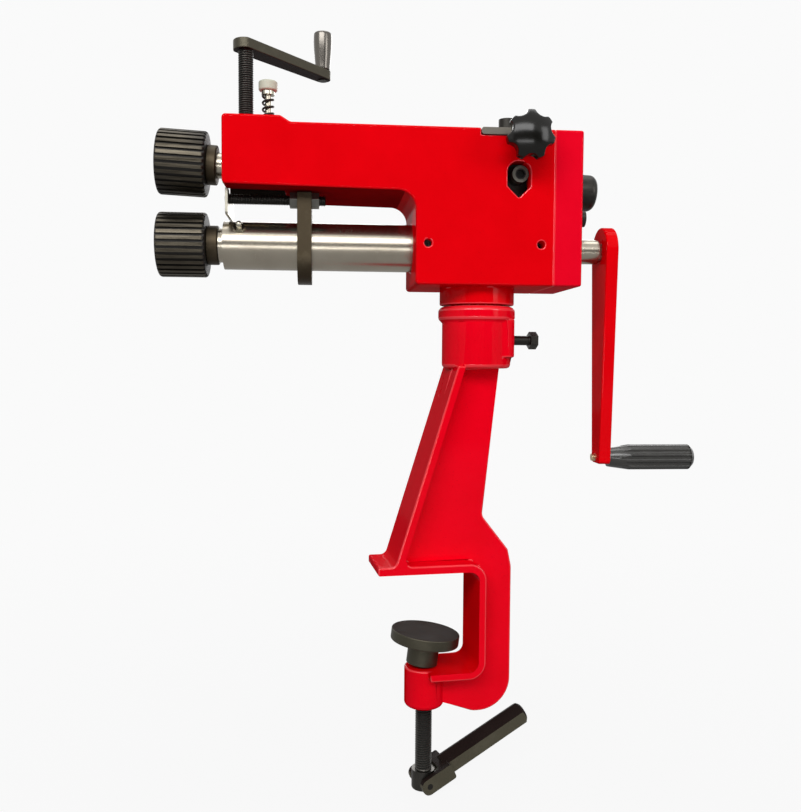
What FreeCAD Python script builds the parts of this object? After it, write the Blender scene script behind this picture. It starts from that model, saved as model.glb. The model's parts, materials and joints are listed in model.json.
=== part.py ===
"""Bench bead roller: a swivelling head with two geared shafts on a clamp stand.

Millimetres. The part's frame has its origin on the underside of the bench jaw, on the
clamp screw's axis. +X runs along the shafts towards the crank, +Y to the back and +Z up.

Two local frames keep the numbers readable:
  stand frame: origin as above, turned about Z by STAND_TURN
  head frame:  origin where the swivel axis meets the lower shaft's axis
"""
import FreeCAD, Part
import math
import os

Vector = FreeCAD.Vector
Rotation = FreeCAD.Rotation
Placement = FreeCAD.Placement
X_AXIS = Vector(1, 0, 0)
Y_AXIS = Vector(0, 1, 0)
Z_AXIS = Vector(0, 0, 1)

# ---------------------------------------------------------------- driving dimensions
# Where the head sits on the stand
STAND_TURN = 6.0           # degrees that the stand is turned from square with the head
CLAMP_REACH = 42.0         # clamp screw axis to swivel axis
SHAFT_HEIGHT = 262.0       # bench jaw to lower shaft axis

# Fits, each one a radial or face clearance
RUN_FIT = 0.05             # a shaft in its bush
SPIN_FIT = 0.3             # a loose turning part on its bolt
SLIDE_FIT = 0.1            # a sliding part on its guide
FACE_GAP = 0.3             # between faces that move past each other
THREAD_FIT = 0.1           # a screw in its threaded hole
OVER = 1.0                 # how far a cut runs past a face

# Head casting
HEAD_DEPTH = 80.0
HEAD_LEFT = -55.0          # throat face
HEAD_RIGHT = 53.7          # joint face of the rear cover
HEAD_BOTTOM = -32.0
HEAD_TOP = 88.8
ARM_END = -202.3
ARM_UNDER = 38.6           # underside of the arm above the shaft axis, at the swivel axis
ARM_RISE = 0.015           # rise of that underside per millimetre towards the rolls
ARM_FLOOR = 2.6            # thickness of the arm's lower wall
THROAT_RADIUS = 14.0
EDGE_RADIUS = 3.0
BOSS_PAD_HEIGHT = 4.7
BOSS_PAD_END = -158.5
BOSS_PAD_FOOT = -151.0
BOSS_PAD_RADIUS = 5.0
NECK_D = 61.0
NECK_LENGTH = 13.5
SPIGOT_D = 42.0
SPIGOT_LENGTH = 46.0
SPIGOT_GROOVE_DEPTH = 2.0
CHANNEL_TOP = 80.0         # roof inside the arm and the head
CAVITY_HALF = 28.0         # half width of the hollow in the head
CAVITY_LEFT = -40.0
CAVITY_FLOOR = 34.0
BLOCK_ROOF = 86.5          # roof over the front bearing block
SHAFT_PASSAGE_D = 30.0     # cored hole round the lower shaft
SET_SCREW_D = 6.0
SET_SCREW_LENGTH = 14.0
SET_SCREW_SOCKET = 3.0
SET_SCREW_SOCKET_DEPTH = 3.0
SLEEVE_SCREW_X = -45.4
BUSH_SCREW_X = 43.5

# Rear cover over the gears
COVER_LENGTH = 22.6
COVER_WALL = 6.0
COVER_SCREW_D = 8.0
COVER_SCREW_Z = 22.3
COVER_SCREW_Y = 30.0
COVER_SCREW_DEPTH = 16.0
COVER_SCREW_SINK = 4.0     # counterbore for its head
GEAR_ROOM = 2.0            # round the gears' tips, on the diameter
TILT_ROOM = 8.0            # round the upper shaft where it leaves the cover
TILT_ROOM_RISE = 0.8       # that hole's centre above the raised shaft

# Shafts and rolls
SHAFT_D = 20.0
SHAFT_NECK_D = 15.0        # upper shaft inside the arm
ARBOR_D = 16.0             # where a roll fits
BUSH_WALL = 2.0
BUSH_FLANGE_D = 27.0
ROLL_D = 51.0
ROLL_WIDTH = 37.6
ROLL_LEFT = -255.7
ROLL_RIM = 2.2
ROLL_TEETH = 32
ROLL_GROOVE_WIDTH = 2.3
ROLL_GROOVE_DEPTH = 1.8
ROLL_RECESS_D = 30.0
ROLL_RECESS_DEPTH = 9.0
COLLAR_D = 31.0
LOWER_COLLAR_RIGHT = -208.9
UPPER_COLLAR_RIGHT = -210.2
KEY_WIDTH = 5.0
KEY_HEIGHT = 5.0
ARBOR_SCREW_DEPTH = 18.0
ROLL_BOLT_LENGTH = 14.0
ROLL_WASHER_THICK = 2.0
ROLL_WASHER_D = 26.0
ROLL_KEY_INSET = 3.0       # from each end of the roll's bore
SLEEVE_D = 38.0
SLEEVE_LEFT = -204.7
SLEEVE_SEAT = 34.0         # length of sleeve held in the head
BUSH_LENGTH = 28.0
BUSH_FLANGE = 4.0
NIPPLE_X = -191.6
NIPPLE_ANGLE = 38.0        # above level, towards the front
NIPPLE_D = 6.0
NIPPLE_FLATS = 9.0
NIPPLE_HEX = 2.4           # height of its hexagon
NIPPLE_STEM = 1.6
NIPPLE_BALL_D = 5.2
NIPPLE_BALL_OUT = 5.0      # ball's centre above the spot face
NIPPLE_THREAD = 4.0        # length of its thread
SPOT_DEPTH = 0.6           # spot face in the sleeve

# Gears
GEAR_MODULE = 2.5
GEAR_TEETH = 20
GEAR_PRESSURE = 20.0
GEAR_ADDENDUM = 0.85       # in modules
GEAR_DEDENDUM = 1.25
GEAR_THINNING = 0.32       # taken off each tooth at the pitch circle
GEAR_LEFT = 56.2
GEAR_WIDTH = 11.6

# Upper shaft's rocking bearings
TILT = 2.8                 # degrees that the upper shaft is raised at the rolls
ROCKER_X = 44.0            # rocker pins' axis along the head
ROCKER_PIN_D = 10.0
ROCKER_PIN_LENGTH = 13.0
ROCKER_SEAT = 4.5          # how deep a pin sits in the rear block
ROCKER_BOSS_WALL = 3.0
BLOCK_WIDTH = 36.0         # across the head
BLOCK_HEIGHT = 30.0
NECK_OVERLAP = 2.0         # shaft's full diameter beyond each block
REAR_BLOCK_LEFT = 12.0
REAR_BLOCK_RIGHT = 53.5
FRONT_BLOCK_LEFT = -201.5
FRONT_BLOCK_RIGHT = -162.0
FRONT_BLOCK_UNDER = 11.5
FRONT_BLOCK_OVER = 18.0

# Crank
CRANK_RADIUS = 171.5
CRANK_LEFT = 103.0
CRANK_THICK = 10.0
CRANK_HUB_WIDTH = 40.0
CRANK_END_WIDTH = 20.0
CRANK_SQUARE = 12.0
CRANK_EDGE_RADIUS = 1.2
CRANK_FOOT = 5.0           # arm below the grip bolt
STUB_END = 100.3
GRIP_D = 21.3
GRIP_NECK_D = 16.0
GRIP_LENGTH = 73.0
GRIP_BOLT_D = 6.0
GRIP_FLUTES = 12
GRIP_FLUTE_D = 5.0
GRIP_FLUTE_OUT = 1.2       # flute centres beyond the grip's surface
GRIP_POCKET = 6.0
GRIP_BOLT_TAIL = 3.5
GRIP_TAPER = 0.25          # of its length

# Pressure screw and its small crank
PRESS_X = -187.4
PRESS_D = 12.0
PRESS_HUB_D = 19.8
PRESS_ARM_BOTTOM = 152.9
PRESS_ARM_RADIUS = 88.0
PRESS_ARM_TURN = 46.5      # degrees from the shafts, towards the back
PRESS_ARM_THICK = 8.0
PRESS_ARM_END_WIDTH = 13.0
BUTTON_D = 14.0
BUTTON_HEIGHT = 5.0
BUTTON_GAP = 0.7           # over the tilted front block
BUTTON_PIN_D = 6.0
BUTTON_PIN_LENGTH = 2.5
SPINNER_LENGTH = 37.0
SPINNER_D = 16.0
SPINNER_NECK_D = 12.0
SPINNER_PIN_D = 5.0
SPINNER_PIN_REACH = 24.5   # into the handle
SPINNER_CROWN = 2.0        # rounding of the handle's top
RIVET_HEAD_D = 8.0
RIVET_HEAD_HEIGHT = 0.8
PRESS_ARM_HUB_WIDTH = 17.0

# Lift bolt and spring
LIFT_X = -170.0
LIFT_D = 5.0
LIFT_HEAD_BOTTOM = 122.3
LIFT_HEAD_D = 15.0
LIFT_HEAD_HEIGHT = 7.7
LIFT_WASHER_D = 10.5
LIFT_WASHER_HEIGHT = 3.0
LIFT_SEAT = 5.0            # how deep the bolt sits in the front block
LIFT_CAP_ROUNDING = 1.5
LIFT_ROCK = 5.6            # half length of the slot that lets the bolt rock
SPRING_D = 10.0
SPRING_WIRE = 1.7
SPRING_TURNS = 4.5

# Star knob and its lock plate
KNOB_X = 28.8
KNOB_Z = 78.5
KNOB_D = 37.0
KNOB_HEIGHT = 22.0
KNOB_LOBES = 7
KNOB_DOME = 30.0
KNOB_HUB_D = 18.0
KNOB_HUB_LENGTH = 8.0
KNOB_SCALLOP_D = 13.0
KNOB_SCALLOP_OUT = 2.8
KNOB_STANDOFF = 8.0
KNOB_STUD_D = 8.0
KNOB_STUD_IN = 4.0         # stud's length inside the disc
STUD_SEAT = 11.0
PLATE_LEFT = -4.9
PLATE_LENGTH = 45.0
PLATE_THICK = 5.5
PLATE_DEPTH = 22.0
PLATE_PROUD = 1.5
PLATE_SCREW_X = 16.5
PLATE_SCREW_INSET = 7.5    # behind the head's front face
PLATE_SCREW_DEPTH = 20.0
SCREW_HEAD_D = 13.0        # cap screw of 8 mm
SCREW_HEAD_HEIGHT = 8.0
SCREW_SOCKET = 6.0
SCREW_D = 8.0

# Window over the rear bearing block
WINDOW_X = 25.3
WINDOW_WIDTH = 18.4
WINDOW_BOTTOM = 35.5
WINDOW_TOP = 63.8
WINDOW_SCREW_X = 27.4
WINDOW_SCREW_Z = 55.4
WINDOW_SCREW_PROUD = 8.0   # boss under its head
WINDOW_SCREW_SHANK = 12.0
WINDOW_FOOT_RADIUS = 1.5
WINDOW_CORNER = 3.0

# Rear knob on the upper shaft
REAR_KNOB_D = 29.4
REAR_KNOB_LEFT = 79.0
REAR_KNOB_RIGHT = 97.6
REAR_KNOB_END = 4.0        # closed end of the knob
REAR_KNOB_ROUNDING = 6.0

# Gauge: bracket on the sleeve, threaded rod and fence
BRACKET_LEFT = -146.3
BRACKET_THICK = 11.2
BRACKET_HALF_WIDTH = 25.0
BRACKET_UNDER = 30.0
ROD_Y = -18.0
ROD_Z = 33.6
ROD_D = 8.0
ROD_LEFT = -202.0
ROD_RIGHT = -124.3
NUT_FLATS = 11.5
NUT_HEIGHT = 5.8
FENCE_THICK = 2.0
FENCE_LEFT = -200.9
FENCE_TOP = 38.2
FENCE_EAR_TOP = 40.3
FENCE_FRONT = -30.0
FENCE_BACK = 14.0
FENCE_FOOT = 20.5
BRACKET_TRAVEL = 34.0
BRACKET_FOOT_RADIUS = 20.0
FENCE_CORNER = 2.0

# Stand casting, in the stand frame
SOCKET_D = 56.5
SOCKET_RING_D = 63.0
SOCKET_GAP = 1.3           # open joint between the neck and the socket's ring
SOCKET_RING_HEIGHT = 10.0
SOCKET_HEIGHT = 50.2
SOCKET_PAD_WIDTH = 48.0
SOCKET_PAD_FOOT = 9.0       # its underside above the socket's
SOCKET_PAD_CORNER = 9.0
SOCKET_PAD_REACH = 27.5
FLANGE_WIDTH = 50.0
FLANGE_THICK = 6.0
JAW_THICK = 6.5
JAW_LEFT = -43.4
JAW_OPENING = 83.0
SPINE_INNER = 40.2
SPINE_OUTER = 72.3
WEB_THICK = 17.0
INNER_RADIUS = 8.0
CLAMP_BOSS_D = 33.0
CLAMP_BOSS_BOTTOM = -116.5
STRUT_TOP_X = 20.0
STRUT_FOOT_X = -27.0
STRUT_FOOT_Z = 14.0
WEB_TOP_REACH = 17.5       # web's back edge behind the swivel axis, at the socket
WAIST_X = 46.5
WAIST_Z = 43.0
HEEL_BOTTOM = -122.0
HEEL_LEFT = 40.0
VALLEY_Z = -112.0
WAIST_FOOT_RADIUS = 8.0
SPINE_TOP_RADIUS = 20.0
HEEL_RADIUS = 27.0
HEEL_INNER_RADIUS = 14.0
SHOULDER_STEP = 3.0        # how far the spine's outside steps in above the jaw
LIP_RADIUS = 1.5
STRUT_FILLET = 6.0
SOCKET_EDGE = 2.0
RING_CHAMFER = 2.5
BOSS_ROUNDING = 4.0

# Clamp screw, pad and toggle handle
CLAMP_D = 14.0
EYE_D = 19.6
EYE_TOP = -171.0
EYE_BOTTOM = -187.6
PAD_D = 57.0
PAD_THICK = 9.0
PAD_TILT = 7.0
PAD_HUB_D = 26.0
PAD_HUB_LENGTH = 18.0
BALL_D = 13.0
BALL_Z = -64.0
STUD_D = 7.0               # ball's spigot in the screw
STUD_LENGTH = 12.0
PAD_LIFT = 2.0             # hub above the lower arm at rest
PAD_DISH = 300.0           # radius of the pad's hollow face
PAD_DISH_DEPTH = 1.5
BALL_MOUTH = 0.5           # how much wider than the ball the hub's mouth is, on the radius
EYE_EDGE = 1.5
TOGGLE_TURN = 12.0
TOGGLE_RISE = 24.0
TOGGLE_PIN_Z = -181.0
TOGGLE_PIN_D = 5.0
TOGGLE_LENGTH = 105.0
TOGGLE_BAR = 18.0
TOGGLE_CHAMFER = 3.0
EAR_HEIGHT = 13.5
EAR_THICK = 4.5
EAR_LENGTH = 20.0
FORK_LAP = 4.0             # fork's solid end past the start of the bar
FORK_CROTCH = 6.0          # fork's solid end before it

# Swivel lock bolt
LOCK_D = 8.0
LOCK_RISE = 23.3           # above the socket's underside
LOCK_HEAD_X = 45.6
LOCK_HEAD_FLATS = 13.0
LOCK_HEAD_THICK = 6.5

# ---------------------------------------------------------------- worked-out places
HALF_DEPTH = HEAD_DEPTH / 2
GEAR_DISTANCE = GEAR_MODULE * GEAR_TEETH
TILT_SLOPE = math.tan(math.radians(TILT))
SHOULDER = ROLL_LEFT + ROLL_WIDTH
UPPER_AT_ROCKER = GEAR_DISTANCE + 0.6
GEAR_RIGHT = GEAR_LEFT + GEAR_WIDTH
COVER_RIGHT = HEAD_RIGHT + COVER_LENGTH
BOSS_TOP = HEAD_TOP + BOSS_PAD_HEIGHT
NECK_BOTTOM = HEAD_BOTTOM - NECK_LENGTH
BUSH_D = SHAFT_D + 2 * BUSH_WALL
CHANNEL_HALF = BLOCK_WIDTH / 2 + FACE_GAP
SOCKET_TOP = SHAFT_HEIGHT + NECK_BOTTOM - SOCKET_GAP
SOCKET_BOTTOM = SOCKET_TOP - SOCKET_HEIGHT
LOCK_Z = SOCKET_BOTTOM + LOCK_RISE
LOCK_IN_HEAD = LOCK_Z - SHAFT_HEIGHT
PLATE_SCREW_Y = -HALF_DEPTH + PLATE_SCREW_INSET


def arm_under(x):
    """Height of the arm's underside at x."""
    return ARM_UNDER - ARM_RISE * x


def upper_axis(x):
    """Height of the raised upper shaft's axis at x."""
    return UPPER_AT_ROCKER + (ROCKER_X - x) * TILT_SLOPE


# ---------------------------------------------------------------- shape helpers
def box(x0, x1, y0, y1, z0, z1):
    return Part.makeBox(x1 - x0, y1 - y0, z1 - z0, Vector(x0, y0, z0))


def rod(diameter, start, direction, length):
    return Part.makeCylinder(diameter / 2, length, start, direction)


def rod_x(diameter, x0, x1, y=0.0, z=0.0):
    return rod(diameter, Vector(x0, y, z), X_AXIS, x1 - x0)


def rod_z(diameter, z0, z1, x=0.0, y=0.0):
    return rod(diameter, Vector(x, y, z0), Z_AXIS, z1 - z0)


def rod_y(diameter, y0, y1, x=0.0, z=0.0):
    return rod(diameter, Vector(x, y0, z), Y_AXIS, y1 - y0)


def outline(points):
    """Closed wire in the XZ plane from (x, z, corner radius) points."""
    corners = [(Vector(x, 0, z), radius) for x, z, radius in points]
    edges = []
    starts = []
    ends = []
    arcs = []
    for index, (corner, radius) in enumerate(corners):
        before = corners[index - 1][0]
        after = corners[(index + 1) % len(corners)][0]
        to_before = (before - corner).normalize()
        to_after = (after - corner).normalize()
        if radius == 0:
            starts.append(corner)
            ends.append(corner)
            arcs.append(None)
            continue
        half_angle = to_before.getAngle(to_after) / 2
        reach = radius / math.tan(half_angle)
        bisector = (to_before + to_after).normalize()
        centre = corner + bisector * (radius / math.sin(half_angle))
        first = corner + to_before * reach
        last = corner + to_after * reach
        starts.append(first)
        ends.append(last)
        arcs.append(Part.Arc(first, centre - bisector * radius, last).toShape())
    for index, arc in enumerate(arcs):
        if arc:
            edges.append(arc)
        following = starts[(index + 1) % len(starts)]
        if (following - ends[index]).Length > 1e-6:
            edges.append(Part.LineSegment(ends[index], following).toShape())
    return Part.Wire(edges)


def plate_y(points, y0, y1):
    """Prism of an XZ outline between two depths."""
    face = Part.Face(outline(points))
    face.translate(Vector(0, y0, 0))
    return face.extrude(Vector(0, y1 - y0, 0))


def plate_z(points, z0, z1):
    """Prism of an XY outline between two heights."""
    shape = plate_y(points, 0, z1 - z0)
    shape.rotate(Vector(), X_AXIS, 90)
    shape.translate(Vector(0, 0, z0))
    return shape.mirror(Vector(), Y_AXIS)


def plate_x(points, x0, x1):
    """Prism of a YZ outline between two places along the shafts."""
    shape = plate_y(points, -x1, -x0)
    shape.rotate(Vector(), Z_AXIS, 90)
    return shape


def turned(profile, start, direction):
    """Solid of revolution: profile holds (along, radius) pairs from the axis and back."""
    points = [Vector(radius, 0, along) for along, radius in profile]
    wire = Part.makePolygon(points + [points[0]])
    solid = Part.Face(wire).revolve(Vector(), Z_AXIS, 360)
    solid.Placement = Placement(start, Rotation(Z_AXIS, direction))
    return solid


def hexagon(flats, height, start, direction):
    """Hexagonal bar with two flats upright and a corner on top when it lies along X."""
    radius = flats / math.sqrt(3)
    points = []
    for step in range(7):
        angle = math.radians(60 * step)
        points.append(Vector(radius * math.cos(angle), radius * math.sin(angle), 0))
    solid = Part.Face(Part.makePolygon(points)).extrude(Vector(0, 0, height))
    solid.Placement = Placement(start, Rotation(Z_AXIS, direction))
    return solid


def cap_screw(start, direction, shank):
    """Socket cap screw of SCREW_D: start is under the head and direction runs to its top."""
    head = rod(SCREW_HEAD_D, start, direction, SCREW_HEAD_HEIGHT)
    socket_start = start + direction * (SCREW_HEAD_HEIGHT / 2)
    socket = hexagon(SCREW_SOCKET, SCREW_HEAD_HEIGHT, socket_start, direction)
    body = rod(SCREW_D, start - direction * shank, direction, shank)
    return head.fuse(body).cut(socket).removeSplitter()


def rounded(shape, radius, wanted):
    """Fillet every edge for which wanted(edge) is true."""
    return shape.makeFillet(radius, [edge for edge in shape.Edges if wanted(edge)])


def edge_box(edge):
    bounds = edge.BoundBox
    return bounds.XMin, bounds.XMax, bounds.YMin, bounds.YMax, bounds.ZMin, bounds.ZMax


# ---------------------------------------------------------------- placing and saving
SWIVEL = Vector(CLAMP_REACH, 0, SHAFT_HEIGHT)
SWIVEL = Rotation(Z_AXIS, STAND_TURN).multVec(SWIVEL)
HEAD = Placement(SWIVEL, Rotation())
STAND = Placement(Vector(), Rotation(Z_AXIS, STAND_TURN))
# The upper shaft is drawn level, on the rocker pins' axis, and then raised by TILT.
UPPER = Placement(Vector(ROCKER_X, 0, UPPER_AT_ROCKER), Rotation(Y_AXIS, TILT))


def save(name, frame, *solids):
    """Write one node: its solids go from their local frame to the part's frame."""
    placed = []
    for solid in solids:
        copy = solid.copy()
        copy.Placement = frame.multiply(copy.Placement)
        placed.append(copy)
    shape = placed[0] if len(placed) == 1 else Part.makeCompound(placed)
    for body in shape.Solids:
        if not body.isValid():
            print("not valid:", name)
    if len(shape.Solids) != len(solids):
        print("unexpected solids:", name, len(shape.Solids))
    shape.exportStep("parts/" + name + ".step")
    return shape


def raised(solid):
    """Move a piece drawn on the level upper axis into the raised upper frame."""
    copy = solid.copy()
    copy.Placement = UPPER.multiply(copy.Placement)
    return copy


# ---------------------------------------------------------------- head
def head_body():
    """Box head with its arm, as one rounded prism."""
    points = [
        (HEAD_LEFT, HEAD_BOTTOM, EDGE_RADIUS),
        (HEAD_RIGHT, HEAD_BOTTOM, 0),
        (HEAD_RIGHT, HEAD_TOP, 0),
        (BOSS_PAD_FOOT, HEAD_TOP, BOSS_PAD_RADIUS),
        (BOSS_PAD_END, BOSS_TOP, BOSS_PAD_RADIUS),
        (ARM_END, BOSS_TOP, EDGE_RADIUS),
        (ARM_END, arm_under(ARM_END), EDGE_RADIUS),
        (HEAD_LEFT, arm_under(HEAD_LEFT), THROAT_RADIUS),
    ]
    body = plate_y(points, -HALF_DEPTH, HALF_DEPTH)

    def on_a_side(edge):
        x0, x1, y0, y1, z0, z1 = edge_box(edge)
        flat = y1 - y0 < 0.001 and abs(abs(y0) - HALF_DEPTH) < 0.001
        return flat and x0 < HEAD_RIGHT - 0.001

    return rounded(body, EDGE_RADIUS * 0.6, on_a_side)


def arm_channel():
    """Hollow along the arm, with a taller open bay for the front bearing block."""
    points = [
        (ARM_END - 1, arm_under(ARM_END) + ARM_FLOOR, 0),
        (CAVITY_LEFT + 1, arm_under(HEAD_LEFT) + ARM_FLOOR, 0),
        (CAVITY_LEFT + 1, CHANNEL_TOP, 0),
        (ARM_END - 1, CHANNEL_TOP, 0),
    ]
    channel = plate_y(points, -CHANNEL_HALF, CHANNEL_HALF)
    bay_end = FRONT_BLOCK_RIGHT + 2 * EDGE_RADIUS
    bay = box(ARM_END - 1, bay_end, -CHANNEL_HALF, CHANNEL_HALF, 0, BLOCK_ROOF)
    return channel.fuse(bay)


def head_cavity():
    """Hollow for the rear bearing block, less the two bosses that hold its pins."""
    cavity = box(CAVITY_LEFT, HEAD_RIGHT, -CAVITY_HALF, CAVITY_HALF, CAVITY_FLOOR, CHANNEL_TOP)
    for side in (-1, 1):
        near = side * CHANNEL_HALF
        far = side * (CAVITY_HALF + 1)
        boss_d = ROCKER_PIN_D + 2 * ROCKER_BOSS_WALL
        boss = rod_y(boss_d, min(near, far), max(near, far), ROCKER_X, UPPER_AT_ROCKER)
        cavity = cavity.cut(boss)
    return cavity


def window():
    """Upright window with a pointed foot, through the front wall."""
    half = WINDOW_WIDTH / 2
    shoulder = WINDOW_BOTTOM + half
    points = [
        (WINDOW_X, WINDOW_BOTTOM, WINDOW_FOOT_RADIUS),
        (WINDOW_X + half, shoulder, WINDOW_CORNER),
        (WINDOW_X + half, WINDOW_TOP, half - 1),
        (WINDOW_X - half, WINDOW_TOP, half - 1),
        (WINDOW_X - half, shoulder, WINDOW_CORNER),
    ]
    return plate_y(points, -HALF_DEPTH - 1, -CAVITY_HALF + 1)


def rocker_bores():
    reach = BLOCK_WIDTH / 2 - ROCKER_SEAT + ROCKER_PIN_LENGTH + FACE_GAP
    diameter = ROCKER_PIN_D + 2 * RUN_FIT
    return rod_y(diameter, -reach, reach, ROCKER_X, UPPER_AT_ROCKER)


def plate_notch():
    back = -HALF_DEPTH - PLATE_PROUD + PLATE_DEPTH
    right = PLATE_LEFT + PLATE_LENGTH
    return box(PLATE_LEFT, right, -HALF_DEPTH - 1, back, HEAD_TOP - PLATE_THICK, HEAD_TOP + 1)


def screw_hole(diameter, start, direction, length):
    return rod(diameter + 2 * THREAD_FIT, start, direction, length)


def head_holes():
    """Every bore and tapped hole in the head casting."""
    holes = [
        rod_x(SLEEVE_D, HEAD_LEFT - 1, HEAD_LEFT + SLEEVE_SEAT),
        rod_x(SHAFT_PASSAGE_D, HEAD_LEFT + SLEEVE_SEAT - 1, HEAD_RIGHT - BUSH_LENGTH),
        rod_x(BUSH_D, HEAD_RIGHT - BUSH_LENGTH - 1, HEAD_RIGHT + 1),
        screw_hole(PRESS_D, Vector(PRESS_X, 0, BLOCK_ROOF - 1), Z_AXIS, BOSS_TOP - BLOCK_ROOF + 2),
        lift_slot(),
        rocker_bores(),
        window(),
        plate_notch(),
        screw_hole(KNOB_STUD_D, Vector(KNOB_X, -HALF_DEPTH - 1, KNOB_Z), Y_AXIS, STUD_SEAT + 1),
        screw_hole(SCREW_D, Vector(PLATE_SCREW_X, PLATE_SCREW_Y, HEAD_TOP - PLATE_SCREW_DEPTH),
                   Z_AXIS, PLATE_SCREW_DEPTH),
    ]
    for x in (SLEEVE_SCREW_X, BUSH_SCREW_X):
        holes.append(screw_hole(SET_SCREW_D, Vector(x, -HALF_DEPTH - 1, 0), Y_AXIS, HALF_DEPTH))
    for y in (-COVER_SCREW_Y, COVER_SCREW_Y):
        start = Vector(HEAD_RIGHT - COVER_SCREW_DEPTH, y, COVER_SCREW_Z)
        holes.append(screw_hole(COVER_SCREW_D, start, X_AXIS, COVER_SCREW_DEPTH + 1))
    return holes


def lift_slot():
    """Slot in the arm's roof: long enough for the bolt to rock."""
    width = LIFT_D + 4 * FACE_GAP
    offset = LIFT_ROCK - width / 2
    bottom = BLOCK_ROOF - 1
    top = BOSS_TOP + 1
    slot = box(LIFT_X - offset, LIFT_X + offset, -width / 2, width / 2, bottom, top)
    ends = [rod_z(width, bottom, top, x) for x in (LIFT_X - offset, LIFT_X + offset)]
    return slot.fuse(ends)


def head_casting():
    groove_z = LOCK_IN_HEAD - LOCK_D
    body = head_body()
    body = body.fuse(rod_z(NECK_D, NECK_BOTTOM, HEAD_BOTTOM + 1))
    body = body.fuse(rod_z(SPIGOT_D, NECK_BOTTOM - SPIGOT_LENGTH, NECK_BOTTOM + 1))
    groove = rod_z(SPIGOT_D + 2, groove_z, groove_z + 2 * LOCK_D)
    groove = groove.cut(rod_z(SPIGOT_D - 2 * SPIGOT_GROOVE_DEPTH, groove_z, groove_z + 2 * LOCK_D))
    body = body.cut(groove)
    body = body.cut([arm_channel(), head_cavity()] + head_holes())
    return body.removeSplitter()


def rear_cover():
    """Cap over the gears, hollow from the head side."""
    cover = box(HEAD_RIGHT, COVER_RIGHT, -HALF_DEPTH, HALF_DEPTH, HEAD_BOTTOM, HEAD_TOP)

    def on_the_rim(edge):
        x0 = edge.BoundBox.XMin
        return x0 > HEAD_RIGHT + 0.001 or edge.BoundBox.XLength > 1

    cover = rounded(cover, EDGE_RADIUS * 0.6, on_the_rim)
    inside = COVER_RIGHT - COVER_WALL
    gear_room = GEAR_DISTANCE + 2 * GEAR_MODULE + GEAR_ROOM
    for z in (0, GEAR_DISTANCE):
        cover = cover.cut(rod_x(gear_room, HEAD_RIGHT - 1, inside, 0, z))
    middle = GEAR_DISTANCE / 2
    cover = cover.cut(box(HEAD_RIGHT - 1, inside, -middle / 2, middle / 2, 0, GEAR_DISTANCE))
    shaft_hole = rod_x(BUSH_D, inside - 1, COVER_RIGHT + 1)
    tilt_z = upper_axis(COVER_RIGHT) + TILT_ROOM_RISE
    tilt_hole = rod_x(SHAFT_D + TILT_ROOM, inside - 1, COVER_RIGHT + 1, 0, tilt_z)
    cover = cover.cut([shaft_hole, tilt_hole])
    for y in (-COVER_SCREW_Y, COVER_SCREW_Y):
        hole = rod_x(COVER_SCREW_D + 1, HEAD_RIGHT - 1, COVER_RIGHT + 1, y, COVER_SCREW_Z)
        sink = rod_x(SCREW_HEAD_D + 1, COVER_RIGHT - COVER_SCREW_SINK, COVER_RIGHT + 1, y, COVER_SCREW_Z)
        cover = cover.cut([hole, sink])
    return cover.removeSplitter()


def cover_screws():
    screws = []
    for y in (-COVER_SCREW_Y, COVER_SCREW_Y):
        start = Vector(COVER_RIGHT - COVER_SCREW_SINK, y, COVER_SCREW_Z)
        screws.append(cap_screw(start, X_AXIS, COVER_LENGTH - COVER_SCREW_SINK + COVER_SCREW_DEPTH - 2))
    return screws


def flanged_bush(seat):
    """Bronze bush whose flange bears on a face at seat, from the left."""
    flange = rod_x(BUSH_FLANGE_D, seat - BUSH_FLANGE, seat)
    body = rod_x(BUSH_D, seat, seat + BUSH_LENGTH)
    bore = rod_x(SHAFT_D + 2 * RUN_FIT, seat - BUSH_FLANGE - 1, seat + BUSH_LENGTH + 1)
    return flange.fuse(body).cut(bore)


def plain_bush(x0, x1):
    return rod_x(BUSH_D, x0, x1).cut(rod_x(SHAFT_D + 2 * RUN_FIT, x0 - 1, x1 + 1))


def sleeve():
    """Steel tube that carries the lower shaft, pressed into the head."""
    right = HEAD_LEFT + SLEEVE_SEAT
    tube = rod_x(SLEEVE_D, SLEEVE_LEFT, right)
    bore = rod_x(BUSH_D, SLEEVE_LEFT - 1, right + 1)
    tapped = rod(NIPPLE_D, nipple_start() - nipple_out() * NIPPLE_BALL_OUT, nipple_out(), SLEEVE_D / 4)
    spot_d = NIPPLE_FLATS * 2 / math.sqrt(3) + 2 * THREAD_FIT
    spot_face = rod(spot_d, nipple_start(), nipple_out(), NIPPLE_BALL_OUT)
    return tube.cut([bore, tapped, spot_face])


def nipple_out():
    """Direction of the grease nipple: up and to the front."""
    angle = math.radians(NIPPLE_ANGLE)
    return Vector(0, -math.cos(angle), math.sin(angle))


def nipple_start():
    return Vector(NIPPLE_X, 0, 0) + nipple_out() * (SLEEVE_D / 2 - SPOT_DEPTH)


def grease_nipple():
    start = nipple_start()
    out = nipple_out()
    collar = hexagon(NIPPLE_FLATS, NIPPLE_HEX, start, out)
    stem = rod(NIPPLE_D - 2, start + out * NIPPLE_HEX, out, NIPPLE_STEM)
    ball = Part.makeSphere(NIPPLE_BALL_D / 2, start + out * NIPPLE_BALL_OUT)
    thread = rod(NIPPLE_D - 2 * THREAD_FIT, start - out * NIPPLE_THREAD, out, NIPPLE_THREAD)
    return collar.fuse([stem, ball, thread]).removeSplitter()


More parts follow.
